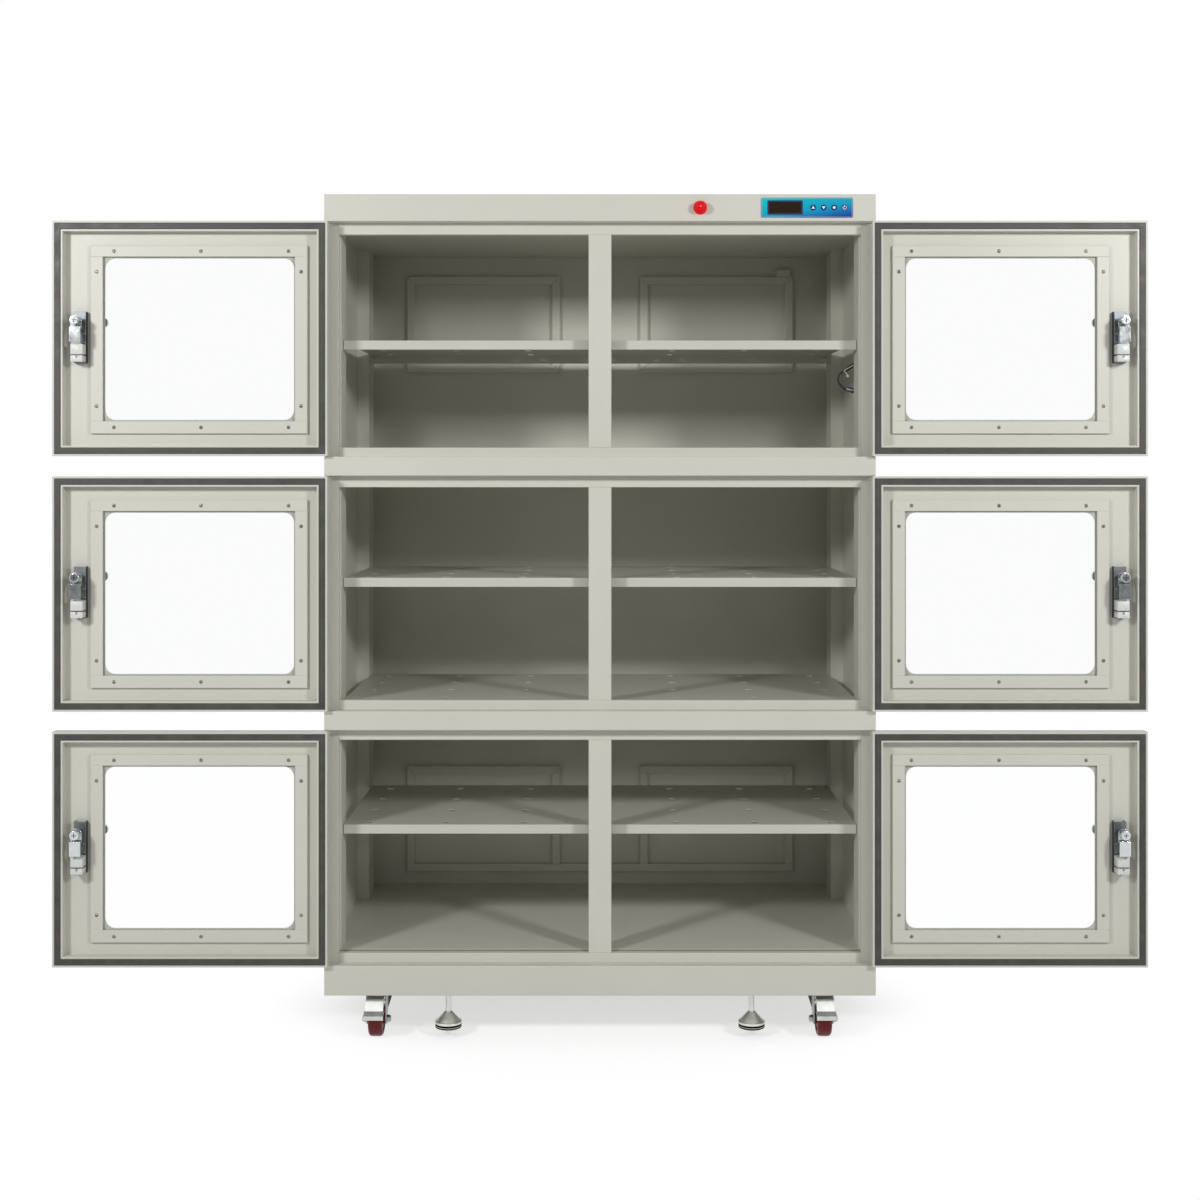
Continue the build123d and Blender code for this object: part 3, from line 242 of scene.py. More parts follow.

# %% [markdown]
# ## Shared finishes
# Several finishes repeat over the cabinet: the fine orange peel of powder coat, the
# cloudy crystals of zinc plate, dust that settles on what faces up, and the edge of a
# fold, which the finishes lighten as a painted highlight. Each is built once as a node
# group with named inputs, and every material then places it with values of its own. That
# keeps the grain the same size on all the parts, as it would be from one paint line.

# %% Making node groups


OUTPUT_KINDS = {"Colour": "NodeSocketColor", "Normal": "NodeSocketVector"}


def effect(name, inputs, outputs):
    """An empty shader node group. A tuple among its inputs is a colour, the rest are values."""
    group = bpy.data.node_groups.new(name, "ShaderNodeTree")
    for label, value in inputs:
        kind = "NodeSocketColor" if isinstance(value, tuple) else "NodeSocketFloat"
        made = group.interface.new_socket(name=label, in_out="INPUT", socket_type=kind)
        made.default_value = value
    for label in outputs:
        kind = OUTPUT_KINDS.get(label, "NodeSocketFloat")
        group.interface.new_socket(name=label, in_out="OUTPUT", socket_type=kind)
    entry = group.nodes.new("NodeGroupInput")
    leave = group.nodes.new("NodeGroupOutput")
    return group, entry, leave


def add_noise(tree, vector, scale, detail, roughness=0.5):
    """A noise texture over a vector. Scale is in features to the metre, or a socket."""
    noise = tree.nodes.new("ShaderNodeTexNoise")
    noise.inputs["Detail"].default_value = detail
    noise.inputs["Roughness"].default_value = roughness
    tree.links.new(vector, noise.inputs["Vector"])
    if isinstance(scale, (int, float)):
        noise.inputs["Scale"].default_value = scale
    else:
        tree.links.new(scale, noise.inputs["Scale"])
    return noise.outputs["Fac"]


def add_range(tree, value, low, high, to_low, to_high):
    """A value stretched from one range to another. An end may be a socket."""
    node = tree.nodes.new("ShaderNodeMapRange")
    for label, end in (("From Min", low), ("From Max", high), ("To Min", to_low), ("To Max", to_high)):
        if isinstance(end, (int, float)):
            node.inputs[label].default_value = end
        else:
            tree.links.new(end, node.inputs[label])
    tree.links.new(value, node.inputs["Value"])
    return node.outputs["Result"]


def add_sum(tree, operation, one, two):
    """A Math node over two values, either of which may be a number."""
    node = tree.nodes.new("ShaderNodeMath")
    node.operation = operation
    for place, value in enumerate((one, two)):
        if isinstance(value, (int, float)):
            node.inputs[place].default_value = value
        else:
            tree.links.new(value, node.inputs[place])
    return node.outputs[0]


def add_blend(tree, factor, one, two, how="MIX"):
    """A colour mix. Either colour may be a socket or three numbers."""
    node = tree.nodes.new("ShaderNodeMix")
    node.data_type = "RGBA"
    node.blend_type = how
    if isinstance(factor, (int, float)):
        node.inputs[0].default_value = factor
    else:
        tree.links.new(factor, node.inputs[0])
    for place, value in ((6, one), (7, two)):
        if isinstance(value, bpy.types.NodeSocket):
            tree.links.new(value, node.inputs[place])
        else:
            node.inputs[place].default_value = (*value, 1.0)
    return node.outputs[2]


def linear(red, green, blue):
    """A colour as a paint chart gives it, 0 to 255, in the light units a shader wants."""
    def one(value):
        value = value / 255.0
        return value / 12.92 if value <= 0.04045 else ((value + 0.055) / 1.055) ** 2.4
    return one(red), one(green), one(blue)


print("chart grey", [round(v, 3) for v in linear(214, 212, 201)])

# %% [markdown]
# Powder coat melts and flows before it sets, and freezes with a gentle ripple called
# orange peel, about a millimetre across. A slow drift of tone runs over a large panel
# as well. Two noises of very different size make both, which one noise can't.

# %% Powder coat
peel, peel_in, peel_out = effect(
    "powder_coat",
    [("Colour", (0.7, 0.7, 0.6, 1.0)), ("Peel", 850.0),
     ("Drift", 0.05), ("Sheen Low", 0.34), ("Sheen High", 0.5)],
    ["Colour", "Roughness", "Height"],
)
peel_place = peel.nodes.new("ShaderNodeTexCoord").outputs["Object"]
ripple = add_noise(peel, peel_place, peel_in.outputs["Peel"], 2.0)
cloud = add_noise(peel, peel_place, 3.1, 3.0)
speck = add_noise(peel, peel_place, 2600.0, 1.0)
shade_low = add_sum(peel, "SUBTRACT", 1.0, peel_in.outputs["Drift"])
tone = add_range(peel, cloud, 0.3, 0.7, shade_low, 1.0)
tone = add_sum(peel, "MULTIPLY", tone, add_range(peel, speck, 0.3, 0.7, 0.985, 1.01))
toned = peel.nodes.new("ShaderNodeVectorMath")
toned.operation = "SCALE"
peel.links.new(peel_in.outputs["Colour"], toned.inputs[0])
peel.links.new(tone, toned.inputs["Scale"])
peel.links.new(toned.outputs["Vector"], peel_out.inputs["Colour"])
peel.links.new(
    add_range(peel, ripple, 0.3, 0.7, peel_in.outputs["Sheen Low"], peel_in.outputs["Sheen High"]),
    peel_out.inputs["Roughness"],
)
peel.links.new(ripple, peel_out.inputs["Height"])
print("group", peel.name, "nodes", len(peel.nodes))

# %% [markdown]
# Sheet steel is folded, so no edge on the cabinet is a knife edge. A Bevel node looks
# round the edge within a small radius: its bent normal gives the highlight, and how far
# it leans from the flat face tells where the edge is. The finishes also lighten the colour
# along that edge, a painted highlight. Real bevels on every sheet would cost many more
# faces for the same line of light.

# %% Folded edge
fold, fold_in, fold_out = effect(
    "folded_edge",
    [("Width", 1.0)],
    ["Normal", "Edge"],
)
fold_round = fold.nodes.new("ShaderNodeBevel")
fold_round.samples = 6
fold.links.new(add_sum(fold, "MULTIPLY", fold_in.outputs["Width"], MM), fold_round.inputs["Radius"])
fold_face = fold.nodes.new("ShaderNodeNewGeometry")
fold_lean = fold.nodes.new("ShaderNodeVectorMath")
fold_lean.operation = "DOT_PRODUCT"
fold.links.new(fold_round.outputs["Normal"], fold_lean.inputs[0])
fold.links.new(fold_face.outputs["Normal"], fold_lean.inputs[1])
fold.links.new(add_range(fold, fold_lean.outputs["Value"], 0.995, 0.8, 0.0, 1.0), fold_out.inputs["Edge"])
fold.links.new(fold_round.outputs["Normal"], fold_out.inputs["Normal"])
print("group", fold.name, "nodes", len(fold.nodes))

# %% [markdown]
# Dust lands on what faces up and stays longest where nobody wipes. The mask is the
# upward share of the face's normal, broken up by a soft noise.

# %% Settled dust
dust, dust_in, dust_out = effect(
    "settled_dust",
    [("Amount", 0.2)],
    ["Mask"],
)
dust_face = dust.nodes.new("ShaderNodeNewGeometry")
dust_split = dust.nodes.new("ShaderNodeSeparateXYZ")
dust.links.new(dust_face.outputs["Normal"], dust_split.inputs[0])
dust_place = dust.nodes.new("ShaderNodeTexCoord").outputs["Object"]
dust_up = add_range(dust, dust_split.outputs["Z"], 0.4, 1.0, 0.0, 1.0)
dust_patch = add_range(dust, add_noise(dust, dust_place, 14.0, 6.0, 0.6), 0.35, 0.7, 0.25, 1.0)
dust_all = add_sum(dust, "MULTIPLY", add_sum(dust, "MULTIPLY", dust_up, dust_patch), dust_in.outputs["Amount"])
dust.links.new(dust_all, dust_out.inputs["Mask"])
print("group", dust.name, "nodes", len(dust.nodes))

# %% [markdown]
# Zinc plate is bright but never even: the bath leaves soft clouds and fine crystals, and
# handling leaves short scratches. Chrome and turned steel are the same idea with less
# cloud and more polish, so one group serves them all.

# %% Plated steel
plate, plate_in, plate_out = effect(
    "plated_steel",
    [("Colour", (0.6, 0.6, 0.6, 1.0)), ("Cloud", 0.15),
     ("Crystal", 700.0), ("Polish", 0.22), ("Haze", 0.36)],
    ["Colour", "Roughness", "Height"],
)
plate_place = plate.nodes.new("ShaderNodeTexCoord").outputs["Object"]
bath = add_noise(plate, plate_place, 55.0, 4.0, 0.6)
grain = add_noise(plate, plate_place, plate_in.outputs["Crystal"], 3.0)
scratch_stretch = plate.nodes.new("ShaderNodeMapping")
scratch_stretch.inputs["Rotation"].default_value = (0.3, 0.7, 0.5)
scratch_stretch.inputs["Scale"].default_value = (60.0, 1800.0, 1800.0)
plate.links.new(plate_place, scratch_stretch.inputs["Vector"])
scratch = add_range(plate, add_noise(plate, scratch_stretch.outputs["Vector"], 1.0, 2.0), 0.62, 0.75, 0.0, 1.0)
plate_tone = add_range(plate, bath, 0.3, 0.7, add_sum(plate, "SUBTRACT", 1.0, plate_in.outputs["Cloud"]), 1.0)
plate_tint = plate.nodes.new("ShaderNodeVectorMath")
plate_tint.operation = "SCALE"
plate.links.new(plate_in.outputs["Colour"], plate_tint.inputs[0])
plate.links.new(plate_tone, plate_tint.inputs["Scale"])
plate_rough = add_range(
    plate, add_sum(plate, "ADD", add_sum(plate, "MULTIPLY", bath, 0.6), add_sum(plate, "MULTIPLY", grain, 0.4)),
    0.3, 0.7, plate_in.outputs["Polish"], plate_in.outputs["Haze"],
)
plate.links.new(plate_tint.outputs["Vector"], plate_out.inputs["Colour"])
plate.links.new(
    add_sum(plate, "ADD", plate_rough, add_sum(plate, "MULTIPLY", scratch, 0.08)), plate_out.inputs["Roughness"]
)
plate.links.new(add_sum(plate, "SUBTRACT", grain, add_sum(plate, "MULTIPLY", scratch, 0.5)), plate_out.inputs["Height"])
print("group", plate.name, "nodes", len(plate.nodes))

# %% [markdown]
# Corners and slots in a plated part get painted shade. The mask says how closed in a point
# is within a few millimetres, and the metals darken their colour by it.

# %% Crevice shade
crevice, crevice_in, crevice_out = effect(
    "crevice_shade",
    [("Reach", 10.0)],
    ["Mask"],
)
crevice_look = crevice.nodes.new("ShaderNodeAmbientOcclusion")
crevice_look.samples = 6
crevice.links.new(add_sum(crevice, "MULTIPLY", crevice_in.outputs["Reach"], MM), crevice_look.inputs["Distance"])
crevice.links.new(add_range(crevice, crevice_look.outputs["AO"], 0.35, 0.9, 1.0, 0.0), crevice_out.inputs["Mask"])
print("group", crevice.name, "nodes", len(crevice.nodes))

# %% [markdown]
# Rubber and moulded plastic come out of their moulds with a fine leathery skin, and
# rubber shows paler where it is handled. The group gives a pitted height, a patchy tone
# and a broken roughness.

# %% Moulded skin
skin, skin_in, skin_out = effect(
    "moulded_skin",
    [("Colour", (0.05, 0.05, 0.05, 1.0)), ("Bloom", (0.2, 0.2, 0.2, 1.0)),
     ("Patch", 0.3), ("Pit", 1500.0),
     ("Smooth", 0.45), ("Dull", 0.7)],
    ["Colour", "Roughness", "Height"],
)
skin_place = skin.nodes.new("ShaderNodeTexCoord").outputs["Object"]
pits = skin.nodes.new("ShaderNodeTexVoronoi")
skin.links.new(skin_place, pits.inputs["Vector"])
skin.links.new(skin_in.outputs["Pit"], pits.inputs["Scale"])
handled = add_noise(skin, skin_place, 38.0, 5.0, 0.62)
skin_mask = add_sum(skin, "MULTIPLY", add_range(skin, handled, 0.4, 0.75, 0.0, 1.0), skin_in.outputs["Patch"])
skin.links.new(
    add_blend(skin, skin_mask, skin_in.outputs["Colour"], skin_in.outputs["Bloom"]), skin_out.inputs["Colour"]
)
skin.links.new(
    add_range(skin, handled, 0.35, 0.7, skin_in.outputs["Smooth"], skin_in.outputs["Dull"]),
    skin_out.inputs["Roughness"],
)
skin.links.new(pits.outputs["Distance"], skin_out.inputs["Height"])
print("group", skin.name, "nodes", len(skin.nodes))

# %% [markdown]
# ## The materials
# Each material holds one Principled shader. Its sockets that never vary, such as how
# metallic it is, are set on the shader itself, and only what changes over the surface
# comes from a group.

# %% Making a material


def new_finish(name, metallic=0.0, **fixed):
    """A material with one Principled shader; fixed holds the values that never vary."""
    made = bpy.data.materials.new(name)
    made.use_nodes = True
    tree = made.node_tree
    tree.nodes.clear()
    leave = tree.nodes.new("ShaderNodeOutputMaterial")
    shader = tree.nodes.new("ShaderNodeBsdfPrincipled")
    shader.inputs["Metallic"].default_value = metallic
    for label, value in fixed.items():
        shader.inputs[label.replace("_", " ")].default_value = value
    tree.links.new(shader.outputs[0], leave.inputs["Surface"])
    return made, tree, shader


def place_effect(tree, group, **values):
    """The group as a node in a material, with its inputs set."""
    node = tree.nodes.new("ShaderNodeGroup")
    node.node_tree = group
    for label, value in values.items():
        node.inputs[label.replace("_", " ")].default_value = (*value, 1.0) if isinstance(value, tuple) else value
    return node


def raise_surface(tree, shader, height, depth, strength=1.0, normal=None):
    """Bumps the shader by a height. Depth is in metres."""
    bump = tree.nodes.new("ShaderNodeBump")
    bump.inputs["Distance"].default_value = depth
    bump.inputs["Strength"].default_value = strength
    tree.links.new(height, bump.inputs["Height"])
    if normal is not None:
        tree.links.new(normal, bump.inputs["Normal"])
    tree.links.new(bump.outputs["Normal"], shader.inputs["Normal"])


print("one Principled shader per finish")

# %% [markdown]
# The cabinet's coat is a warm light grey, semi-gloss, over every sheet. Casing, frame,
# doors and shelves all take it. Along each fold the edge mask paints a paler tone, a
# painted highlight, and a breath of dust lies on what faces up.

# %% Cabinet grey


def cabinet_coat(name, colour, peel_size=850.0, edge_width=1.1, dusting=0.16, low=0.34, high=0.48):
    """Powder coat of one colour, with a painted highlight on its folded edges, and its dust."""
    made, tree, shader = new_finish(name)
    coat = place_effect(tree, peel, Colour=colour, Peel=peel_size, Sheen_Low=low, Sheen_High=high)
    edge = place_effect(tree, fold, Width=edge_width)
    lying = place_effect(tree, dust, Amount=dusting)
    # The pale tone is a painted highlight along the folded edges.
    pale = tuple(min(1.0, v * 1.16 + 0.02) for v in colour)
    edge_highlit = add_blend(tree, add_sum(tree, "MULTIPLY", edge.outputs["Edge"], 0.5), coat.outputs["Colour"], pale)
    dusty = add_blend(tree, lying.outputs["Mask"], edge_highlit, linear(178, 174, 162))
    tree.links.new(dusty, shader.inputs["Base Color"])
    dulled = add_sum(tree, "ADD", coat.outputs["Roughness"], add_sum(tree, "MULTIPLY", lying.outputs["Mask"], 0.25))
    tree.links.new(dulled, shader.inputs["Roughness"])
    raise_surface(tree, shader, coat.outputs["Height"], 0.00004, 0.55, edge.outputs["Normal"])
    return made


CABINET_GREY = linear(211, 210, 199)
cabinet_paint = cabinet_coat("cabinet_grey_coat", CABINET_GREY)
shelf_paint = cabinet_coat("shelf_grey_coat", linear(205, 204, 194), edge_width=0.7, low=0.3, high=0.42)
unit_paint = cabinet_coat("cover_grey_coat", linear(206, 205, 195), edge_width=1.4, dusting=0.3)
print("coats", cabinet_paint.name, shelf_paint.name, unit_paint.name)

# %% [markdown]
# The door gasket is a soft dark grey extrusion. Its face is matt and slightly dusty, and
# its rounded edges are painted paler, a painted highlight.

# %% Gasket rubber


def rubber(name, colour, bloom, patch=0.35, pit=1400.0, smooth=0.42, dull=0.62, edge_width=1.5, **fixed):
    """Soft rubber or moulded plastic with a pitted skin and a painted highlight along its edges."""
    made, tree, shader = new_finish(name, **fixed)
    body = place_effect(tree, skin, Colour=colour, Bloom=bloom, Patch=patch, Pit=pit, Smooth=smooth, Dull=dull)
    edge = place_effect(tree, fold, Width=edge_width)
    # The bloom tone along the edges is a painted highlight.
    rubber_edge_highlit = add_blend(tree, add_sum(tree, "MULTIPLY", edge.outputs["Edge"], 0.35), body.outputs["Colour"], bloom)
    tree.links.new(rubber_edge_highlit, shader.inputs["Base Color"])
    tree.links.new(body.outputs["Roughness"], shader.inputs["Roughness"])
    raise_surface(tree, shader, body.outputs["Height"], 0.00006, 0.5, edge.outputs["Normal"])
    return made


gasket_rubber = rubber("gasket_rubber", linear(56, 57, 53), linear(96, 96, 90), edge_width=2.6)
pad_rubber = rubber(
    "pad_rubber", linear(14, 14, 15), linear(34, 34, 33), smooth=0.75, dull=0.95, Specular_IOR_Level=0.05
)
black_moulding = rubber(
    "black_moulding", linear(38, 39, 40), linear(92, 92, 92), patch=0.15, pit=2200.0, smooth=0.3, dull=0.48
)
lead_sleeve = rubber("lead_sleeve", linear(44, 45, 46), linear(92, 92, 92), patch=0.2, edge_width=0.5)
print("rubbers and mouldings", 4)

# %% [markdown]
# Casters, latches and feet are plated or turned steel. They differ only in tone and
# polish: the casters are dull zinc, the latches near chrome, the feet turned bright.

# %% Zinc, chrome and turned steel


def bright_metal(name, colour, cloud_depth, crystal, polish, haze, edge_width=0.6, depth=0.00003, reach=10.0):
    """Plated steel, painted lighter on its edges as a highlight and painted darker in its corners as shade."""
    made, tree, shader = new_finish(name, metallic=1.0)
    skin_of_zinc = place_effect(
        tree, plate, Colour=colour, Cloud=cloud_depth, Crystal=crystal, Polish=polish, Haze=haze
    )
    edge = place_effect(tree, fold, Width=edge_width)
    closed = place_effect(tree, crevice, Reach=reach)
    # The edges are lightened toward near white: a painted highlight.
    edge_highlit = add_blend(
        tree, add_sum(tree, "MULTIPLY", edge.outputs["Edge"], 0.6), skin_of_zinc.outputs["Colour"],
        linear(246, 246, 244),
    )
    # The corners are darkened by the crevice mask: painted shade.
    corner_shaded = add_blend(
        tree, add_sum(tree, "MULTIPLY", closed.outputs["Mask"], 0.75), edge_highlit, tuple(v * 0.2 for v in colour)
    )
    tree.links.new(corner_shaded, shader.inputs["Base Color"])
    tree.links.new(skin_of_zinc.outputs["Roughness"], shader.inputs["Roughness"])
    raise_surface(tree, shader, skin_of_zinc.outputs["Height"], depth, 0.5, edge.outputs["Normal"])
    return made


caster_zinc = bright_metal("caster_zinc", linear(182, 186, 182), 0.3, 700.0, 0.26, 0.42)
pedal_zinc = bright_metal("pedal_zinc", linear(216, 219, 215), 0.2, 700.0, 0.38, 0.55)
latch_chrome = bright_metal("latch_chrome", linear(214, 218, 220), 0.16, 900.0, 0.1, 0.2, 0.5, 0.00001)
# The latch bodies' zinc is set much darker than plated zinc: painted shade for the shadows round the lock.
latch_zinc_shaded = bright_metal("latch_zinc_shaded", linear(122, 125, 129), 0.24, 800.0, 0.34, 0.5)
turned_steel = bright_metal("turned_steel", linear(226, 227, 222), 0.18, 500.0, 0.3, 0.46, 0.7, 0.00002)
screw_steel = bright_metal("screw_steel", linear(150, 151, 146), 0.3, 1200.0, 0.2, 0.34, 0.3)
print("metals", 6)

# %% [markdown]
# The windows are plain float glass. Light crosses it almost untouched, and it has to
# stay clear both to the camera and in a game engine, so its transmission is a fixed
# value on the shader and only a faint wipe mark varies over it, in the roughness.

# %% Window glass
window_glass, glass_tree, glass_shader = new_finish("window_glass", Transmission_Weight=1.0, IOR=1.45)
glass_shader.inputs["Base Color"].default_value = (0.985, 0.995, 0.99, 1.0)
glass_place = glass_tree.nodes.new("ShaderNodeTexCoord").outputs["Object"]
wipe = add_noise(glass_tree, glass_place, 9.0, 4.0)
glass_tree.links.new(add_range(glass_tree, wipe, 0.4, 0.75, 0.0, 0.03), glass_shader.inputs["Roughness"])
glass_leave = next(n for n in glass_tree.nodes if n.type == "OUTPUT_MATERIAL")
glass_clear = glass_tree.nodes.new("ShaderNodeBsdfTransparent")
glass_clear.inputs["Color"].default_value = (0.93, 0.95, 0.94, 1.0)
glass_path = glass_tree.nodes.new("ShaderNodeLightPath")
glass_pass = add_sum(glass_tree, "MAXIMUM", glass_path.outputs["Is Shadow Ray"], glass_path.outputs["Is Diffuse Ray"])
glass_pick = glass_tree.nodes.new("ShaderNodeMixShader")
glass_tree.links.new(glass_pass, glass_pick.inputs[0])
glass_tree.links.new(glass_shader.outputs[0], glass_pick.inputs[1])
glass_tree.links.new(glass_clear.outputs[0], glass_pick.inputs[2])
glass_tree.links.new(glass_pick.outputs[0], glass_leave.inputs["Surface"])
print("glass IOR", glass_shader.inputs["IOR"].default_value)

# %% [markdown]
# The control panel is a printed film: teal at its upper left, running to deep blue at
# its lower right, with a thin grey outline. The run of colour is printed on the film, so
# it follows the film's own width and height rather than any light.

# %% Printed film
PANEL_LEFT, PANEL_WIDTH, PANEL_HEIGHT = 350.5, 199.0, 43.0
PANEL_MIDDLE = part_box("control_panel")
panel_bottom = 1821.5 - PANEL_HEIGHT / 2
printed_film, film_tree, film_shader = new_finish("printed_film", Specular_IOR_Level=0.2)
film_place = film_tree.nodes.new("ShaderNodeTexCoord").outputs["Object"]
film_split = film_tree.nodes.new("ShaderNodeSeparateXYZ")
film_tree.links.new(film_place, film_split.inputs[0])
across = add_range(film_tree, film_split.outputs["X"], PANEL_LEFT * MM, (PANEL_LEFT + PANEL_WIDTH) * MM, 0.0, 1.0)
down = add_range(film_tree, film_split.outputs["Z"], (panel_bottom + PANEL_HEIGHT) * MM, panel_bottom * MM, 0.0, 1.0)
run = add_sum(
    film_tree, "ADD", add_sum(film_tree, "MULTIPLY", across, 0.45), add_sum(film_tree, "MULTIPLY", down, 0.55)
)
inks = film_tree.nodes.new("ShaderNodeValToRGB")
inks.color_ramp.elements[0].position = 0.12
inks.color_ramp.elements[0].color = (*linear(0, 192, 204), 1.0)
inks.color_ramp.elements[1].position = 0.92
inks.color_ramp.elements[1].color = (*linear(0, 44, 158), 1.0)
middle_ink = inks.color_ramp.elements.new(0.58)
middle_ink.color = (*linear(0, 152, 192), 1.0)
film_tree.links.new(run, inks.inputs["Fac"])
dots = add_noise(film_tree, film_place, 2400.0, 1.0)
film_tree.links.new(
    add_blend(
        film_tree, add_range(film_tree, dots, 0.4, 0.7, 0.0, 0.12), inks.outputs["Color"], linear(60, 190, 210)
    ),
    film_shader.inputs["Base Color"],
)
film_tree.links.new(add_range(film_tree, dots, 0.3, 0.7, 0.28, 0.42), film_shader.inputs["Roughness"])
raise_surface(film_tree, film_shader, dots, 0.00001, 0.4)
print("panel box", [round(v, 4) for c in PANEL_MIDDLE for v in c])

# %% [markdown]
# The alarm lamp is a clear red moulding, its rim painted lighter as a highlight. A little
# light passes into it, and it has a faint painted red glow, so it keeps its red even where
# it faces away from the lamps.

# %% Lamp, wheel and key plastics


def glossy_plastic(name, colour, deep, low=0.12, high=0.24, mottle=300.0, **fixed):
    """Hard bright plastic whose tone shifts a little with its thickness."""
    made, tree, shader = new_finish(name, **fixed)
    here = tree.nodes.new("ShaderNodeTexCoord").outputs["Object"]
    slow = add_noise(tree, here, mottle, 3.0)
    fine = add_noise(tree, here, 1800.0, 1.0)
    edge = place_effect(tree, fold, Width=0.6)
    tone_here = add_blend(tree, add_range(tree, slow, 0.35, 0.7, 0.0, 1.0), colour, deep)
    # Edges are lightened toward this lit tone: a painted highlight.
    lit = tuple(min(1.0, v * 1.25 + 0.02) for v in colour)
    tree.links.new(
        add_blend(tree, add_sum(tree, "MULTIPLY", edge.outputs["Edge"], 0.4), tone_here, lit),
        shader.inputs["Base Color"],
    )
    tree.links.new(add_range(tree, slow, 0.3, 0.7, low, high), shader.inputs["Roughness"])
    raise_surface(tree, shader, fine, 0.00001, 0.3, edge.outputs["Normal"])
    return made


# The small red emission is a painted glow that brightens the lens.
lamp_red = glossy_plastic("lamp_red_lens", linear(236, 0, 20), linear(208, 0, 14),
                          Subsurface_Weight=0.1, Subsurface_Scale=0.004, Coat_Weight=0.08, Specular_IOR_Level=0.12,
                          Emission_Color=(0.8, 0.0, 0.01, 1.0), Emission_Strength=0.1)
wheel_red = glossy_plastic(
    "wheel_red_tyre", linear(112, 16, 22), linear(84, 12, 18), 0.34, 0.5, 90.0, Specular_IOR_Level=0.3
)
key_blue = glossy_plastic("key_navy", linear(6, 42, 122), linear(4, 32, 102), 0.3, 0.4, Specular_IOR_Level=0.25)
symbol_white = glossy_plastic("symbol_white_ink", linear(250, 252, 253), linear(242, 246, 248), 0.35, 0.5)
window_dark = glossy_plastic(
    "display_dark_lens", linear(46, 34, 18), linear(32, 24, 12), 0.08, 0.14, Specular_IOR_Level=0.2
)
border_navy = glossy_plastic("border_navy_ink", linear(8, 30, 84), linear(6, 24, 72), 0.3, 0.42)
outline_ink_and_notch_shade = glossy_plastic("grey_ink_and_notch_shade", linear(150, 156, 162), linear(132, 140, 148), 0.35, 0.5)
lamp_glint = glossy_plastic(
    "lamp_glint", linear(255, 168, 176), linear(250, 140, 150), 0.3, 0.45, Specular_IOR_Level=0.1
)
tie_white = glossy_plastic("tie_white_nylon", linear(226, 226, 220), linear(206, 206, 198), 0.3, 0.45)
wire_blue = glossy_plastic("wire_blue_sleeve", linear(34, 92, 176), linear(24, 74, 150), 0.3, 0.42)
wire_brown = glossy_plastic("wire_brown_sleeve", linear(120, 74, 44), linear(96, 58, 34), 0.3, 0.42)
block_nylon = glossy_plastic("block_nylon", linear(222, 223, 218), linear(206, 208, 204), 0.3, 0.42)
# Dark metal for painted shade in recesses.
recess_shade = bright_metal("recess_shade", linear(52, 54, 56), 0.3, 900.0, 0.4, 0.6, 0.1)
print("plastics", 12)

# %% [markdown]
# ## Dressing the CAD parts
# Each CAD part keeps its mesh and gets its finish by name. Doing it from one list makes
# it easy to see that nothing was left with the bare import material.

# %% Finishes by part
FINISH_OF = [
    ("_gasket", gasket_rubber), ("_glass", window_glass), ("_latch_handle", latch_chrome), ("_latch_body", latch_zinc_shaded),
    ("_caster_fork", caster_zinc), ("_caster_wheel", wheel_red), ("_brake_pedal", pedal_zinc), ("_foot", turned_steel),
    ("_key", key_blue), ("_door", cabinet_paint), ("outer_casing", cabinet_paint), ("front_frame", cabinet_paint),
    ("shelf_uprights", cabinet_paint), ("shelves", shelf_paint), ("duct_frames", cabinet_paint),
    ("drying_units", unit_paint),
    ("power_inlet", black_moulding), ("undercarriage", caster_zinc), ("control_panel", printed_film),
    ("alarm_lamp", lamp_red), ("humidity_sensor", black_moulding), ("sensor_lead", lead_sleeve),
]
dressed = 0
for part_name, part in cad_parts.items():
    for ending, finish in FINISH_OF:
        if part_name.endswith(ending):
            for place in range(max(1, len(part.material_slots))):
                if part.material_slots:
                    part.material_slots[place].material = finish
                else:
                    part.data.materials.append(finish)
            dressed += 1
            break
print("dressed", dressed, "of", len(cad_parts))

# %% [markdown]
# ## Fasteners
# Many small screws hold the window strips, the rear covers and the caster plates. A pan
# head is a low dome with a cross pressed into it. It is modelled as one sheet over a
# polar grid, lifted by the dome's height and pushed down where the cross is: one closed
# form, without cutting one mesh out of another.

# %% Pan-head screws


